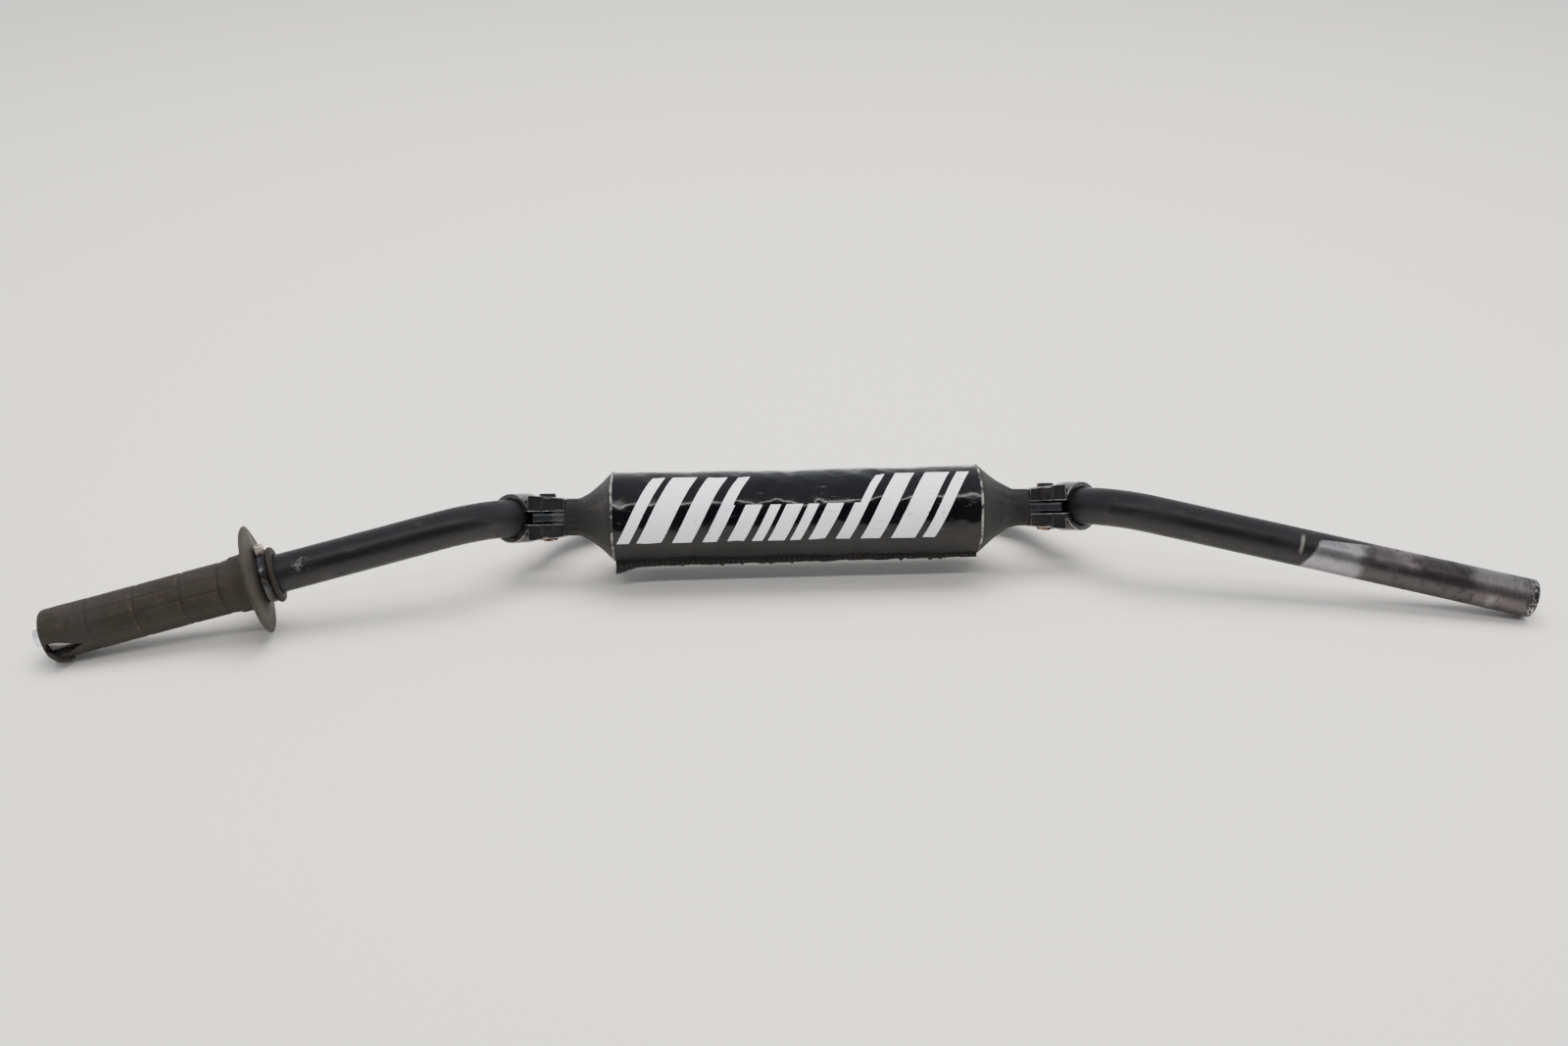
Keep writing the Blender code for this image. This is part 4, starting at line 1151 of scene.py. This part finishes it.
# ---- bar-end anchor ----
def make_anchor():
    """Hexagon bolt, washer, and the hidden expander and wedge nut."""
    zinc = zinc_look()
    seat = 3.6
    top = seat + 4.6
    head = to_object("anchor_hex_bolt", prism_mesh(5.75, seat, top), GRIP)
    dome = [(0.3, top), (4.4, top), (4.9, top - 0.12), (5.75, top - 0.75), (5.75, seat + 0.15), (5.5, seat),
            (0.3, seat)]
    combine(head, to_object("dome", lathe_mesh(dome, 64), GRIP), "INTERSECT")
    profile = [(0.3, seat + 1), (3, seat + 1), (3, -4)]
    turns = 72
    foot = seat + 1 - 40
    for i in range(turns + 1):
        profile.append((3 - (0.3 if i % 2 else 0), -4.4 + (foot + 4.9) * i / turns))
    profile += [(2.4, foot), (0.3, foot)]
    combine(head, to_object("shank", lathe_mesh(profile, 32), GRIP), "UNION")
    dress(head, zinc, "anchor_bolt", "zinc", "anchor_bolt", sharp=25)
    near, far = 0.3, 3.3
    profile = [(3.4, far), (7.4, far), (8.0, far - 0.3), (8.2, far - 0.9), (8.2, near + 0.4), (7.8, near),
               (3.4, near)]
    washer = to_object("anchor_flat_washer", lathe_mesh(profile, 96, closed=True), GRIP)
    dress(washer, zinc_look("zinc_washer", 0.6), "bar", "zinc", "anchor_washer", sharp=30)
    paint_node("anchor_expander", expander_look())
    paint_node("anchor_wedge_nut", zinc_look("zinc_nut", cad=True))


def paint_node(node, look):
    """A CAD node keeps its shape and gets a node material."""
    mesh = NODES[node].data
    mesh.materials.clear()
    mesh.materials.append(look)


# ---- camera, floor and light ----
CAMERA_PLACE = (-0.03491, -0.75984, 0.5054)
CAMERA_PITCH, CAMERA_YAW, CAMERA_ROLL = math.radians(31.475), math.radians(-2.212), math.radians(-0.316)
CAMERA_LENS = 34.985
CEILING_POWER = 72
STRIP_POWER = 9.0
WORLD_STRENGTH = 1.1


def make_camera():
    camera = linked("camera", bpy.data.cameras.new("camera"), Matrix.Translation(CAMERA_PLACE))
    turn = Matrix.Rotation(CAMERA_YAW, 4, "Z") @ Matrix.Rotation(math.pi / 2 - CAMERA_PITCH, 4, "X")
    turn = turn @ Matrix.Rotation(CAMERA_ROLL, 4, "Z")
    camera.rotation_euler = turn.to_euler()
    camera.data.sensor_width = 36
    camera.data.lens = CAMERA_LENS
    bpy.context.scene.camera = camera


def make_floor():
    """A plain pale board."""
    bm = bmesh.new()
    bmesh.ops.create_grid(bm, x_segments=1, y_segments=1, size=30)
    floor = to_object("floor", bm, Matrix.Translation((0, 0, -0.2 * MM)))
    look = Look("floor", 0.55, Specular_IOR_Level=0.3)
    tone = look.noise(3.0, 4, 0.6)
    look.wire("Base Color", look.mix(tone, (0.83, 0.80, 0.755), (0.89, 0.865, 0.825)))
    floor.data.materials.append(look.material)


def make_light():
    world = bpy.data.worlds.new("studio")
    world.use_nodes = True
    tree = world.node_tree
    background = tree.nodes["Background"]
    direction = tree.nodes.new("ShaderNodeTexCoord").outputs["Generated"]
    parts = tree.nodes.new("ShaderNodeSeparateXYZ")
    tree.links.new(direction, parts.inputs[0])

    def ramp(value, low, high, start, end):
        node = tree.nodes.new("ShaderNodeMapRange")
        node.interpolation_type = "SMOOTHSTEP"
        tree.links.new(value, node.inputs[0])
        for index, number in enumerate((low, high, start, end), 1):
            node.inputs[index].default_value = number
        return node.outputs[0]

    def product(a, b, operation="MULTIPLY"):
        node = tree.nodes.new("ShaderNodeMath")
        node.operation = operation
        for index, source in enumerate((a, b)):
            if isinstance(source, bpy.types.NodeSocket):
                tree.links.new(source, node.inputs[index])
            else:
                node.inputs[index].default_value = source
        return node.outputs[0]

    # dim on the viewer's side below 60 degrees, bright overhead and behind the object
    viewer_side = ramp(parts.outputs["Y"], -0.38, -0.55, 0.0, 1.0)
    dim = product(1.0, product(viewer_side, 0.9), "SUBTRACT")
    overhead = ramp(parts.outputs["Z"], 0.1, 0.9, 1.0, 0.75)
    tree.links.new(product(product(dim, overhead), WORLD_STRENGTH), background.inputs["Strength"])
    background.inputs["Color"].default_value = (0.94, 0.965, 1.0, 1)
    bpy.context.scene.world = world
    key = area_light("ceiling", (0.1, 0.45, 1.9), (0, 0.05, 0), 1.8, 1.3, CEILING_POWER, (1, 0.98, 0.94))
    key.visible_glossy = False
    area_light("strip", (0.0, -0.78, 1.55), (0, 0.0, 0.05), 1.7, 0.04, STRIP_POWER, (1, 1, 1))


def area_light(name, location, target, width, depth, power, colour):
    data = bpy.data.lights.new(name, "AREA")
    data.shape = "RECTANGLE"
    data.size, data.size_y = width, depth
    data.energy = power
    data.color = colour
    lamp = linked(name, data, Matrix.Translation(location))
    lamp.rotation_euler = (Vector(target) - Vector(location)).to_track_quat("-Z", "Y").to_euler()
    return lamp


make_camera()
make_floor()
make_light()
SCREW, RUST, FUZZ, PIPING, ELASTIC = screw_look(), rust_look(), fuzz_look(), piping_look(), elastic_look()
make_tube()
paint_node("crossbar", crossbar_look())
make_clamp(-1, "left", (0.018, 0.016, 0.016))
make_clamp(1, "right", (0.030, 0.024, 0.021))
for bar_side, bar_where in ((-1, "left"), (1, "right")):
    make_clamp_hardware(bar_side, bar_where)
make_pad()
make_grip()
make_tie()
make_anchor()
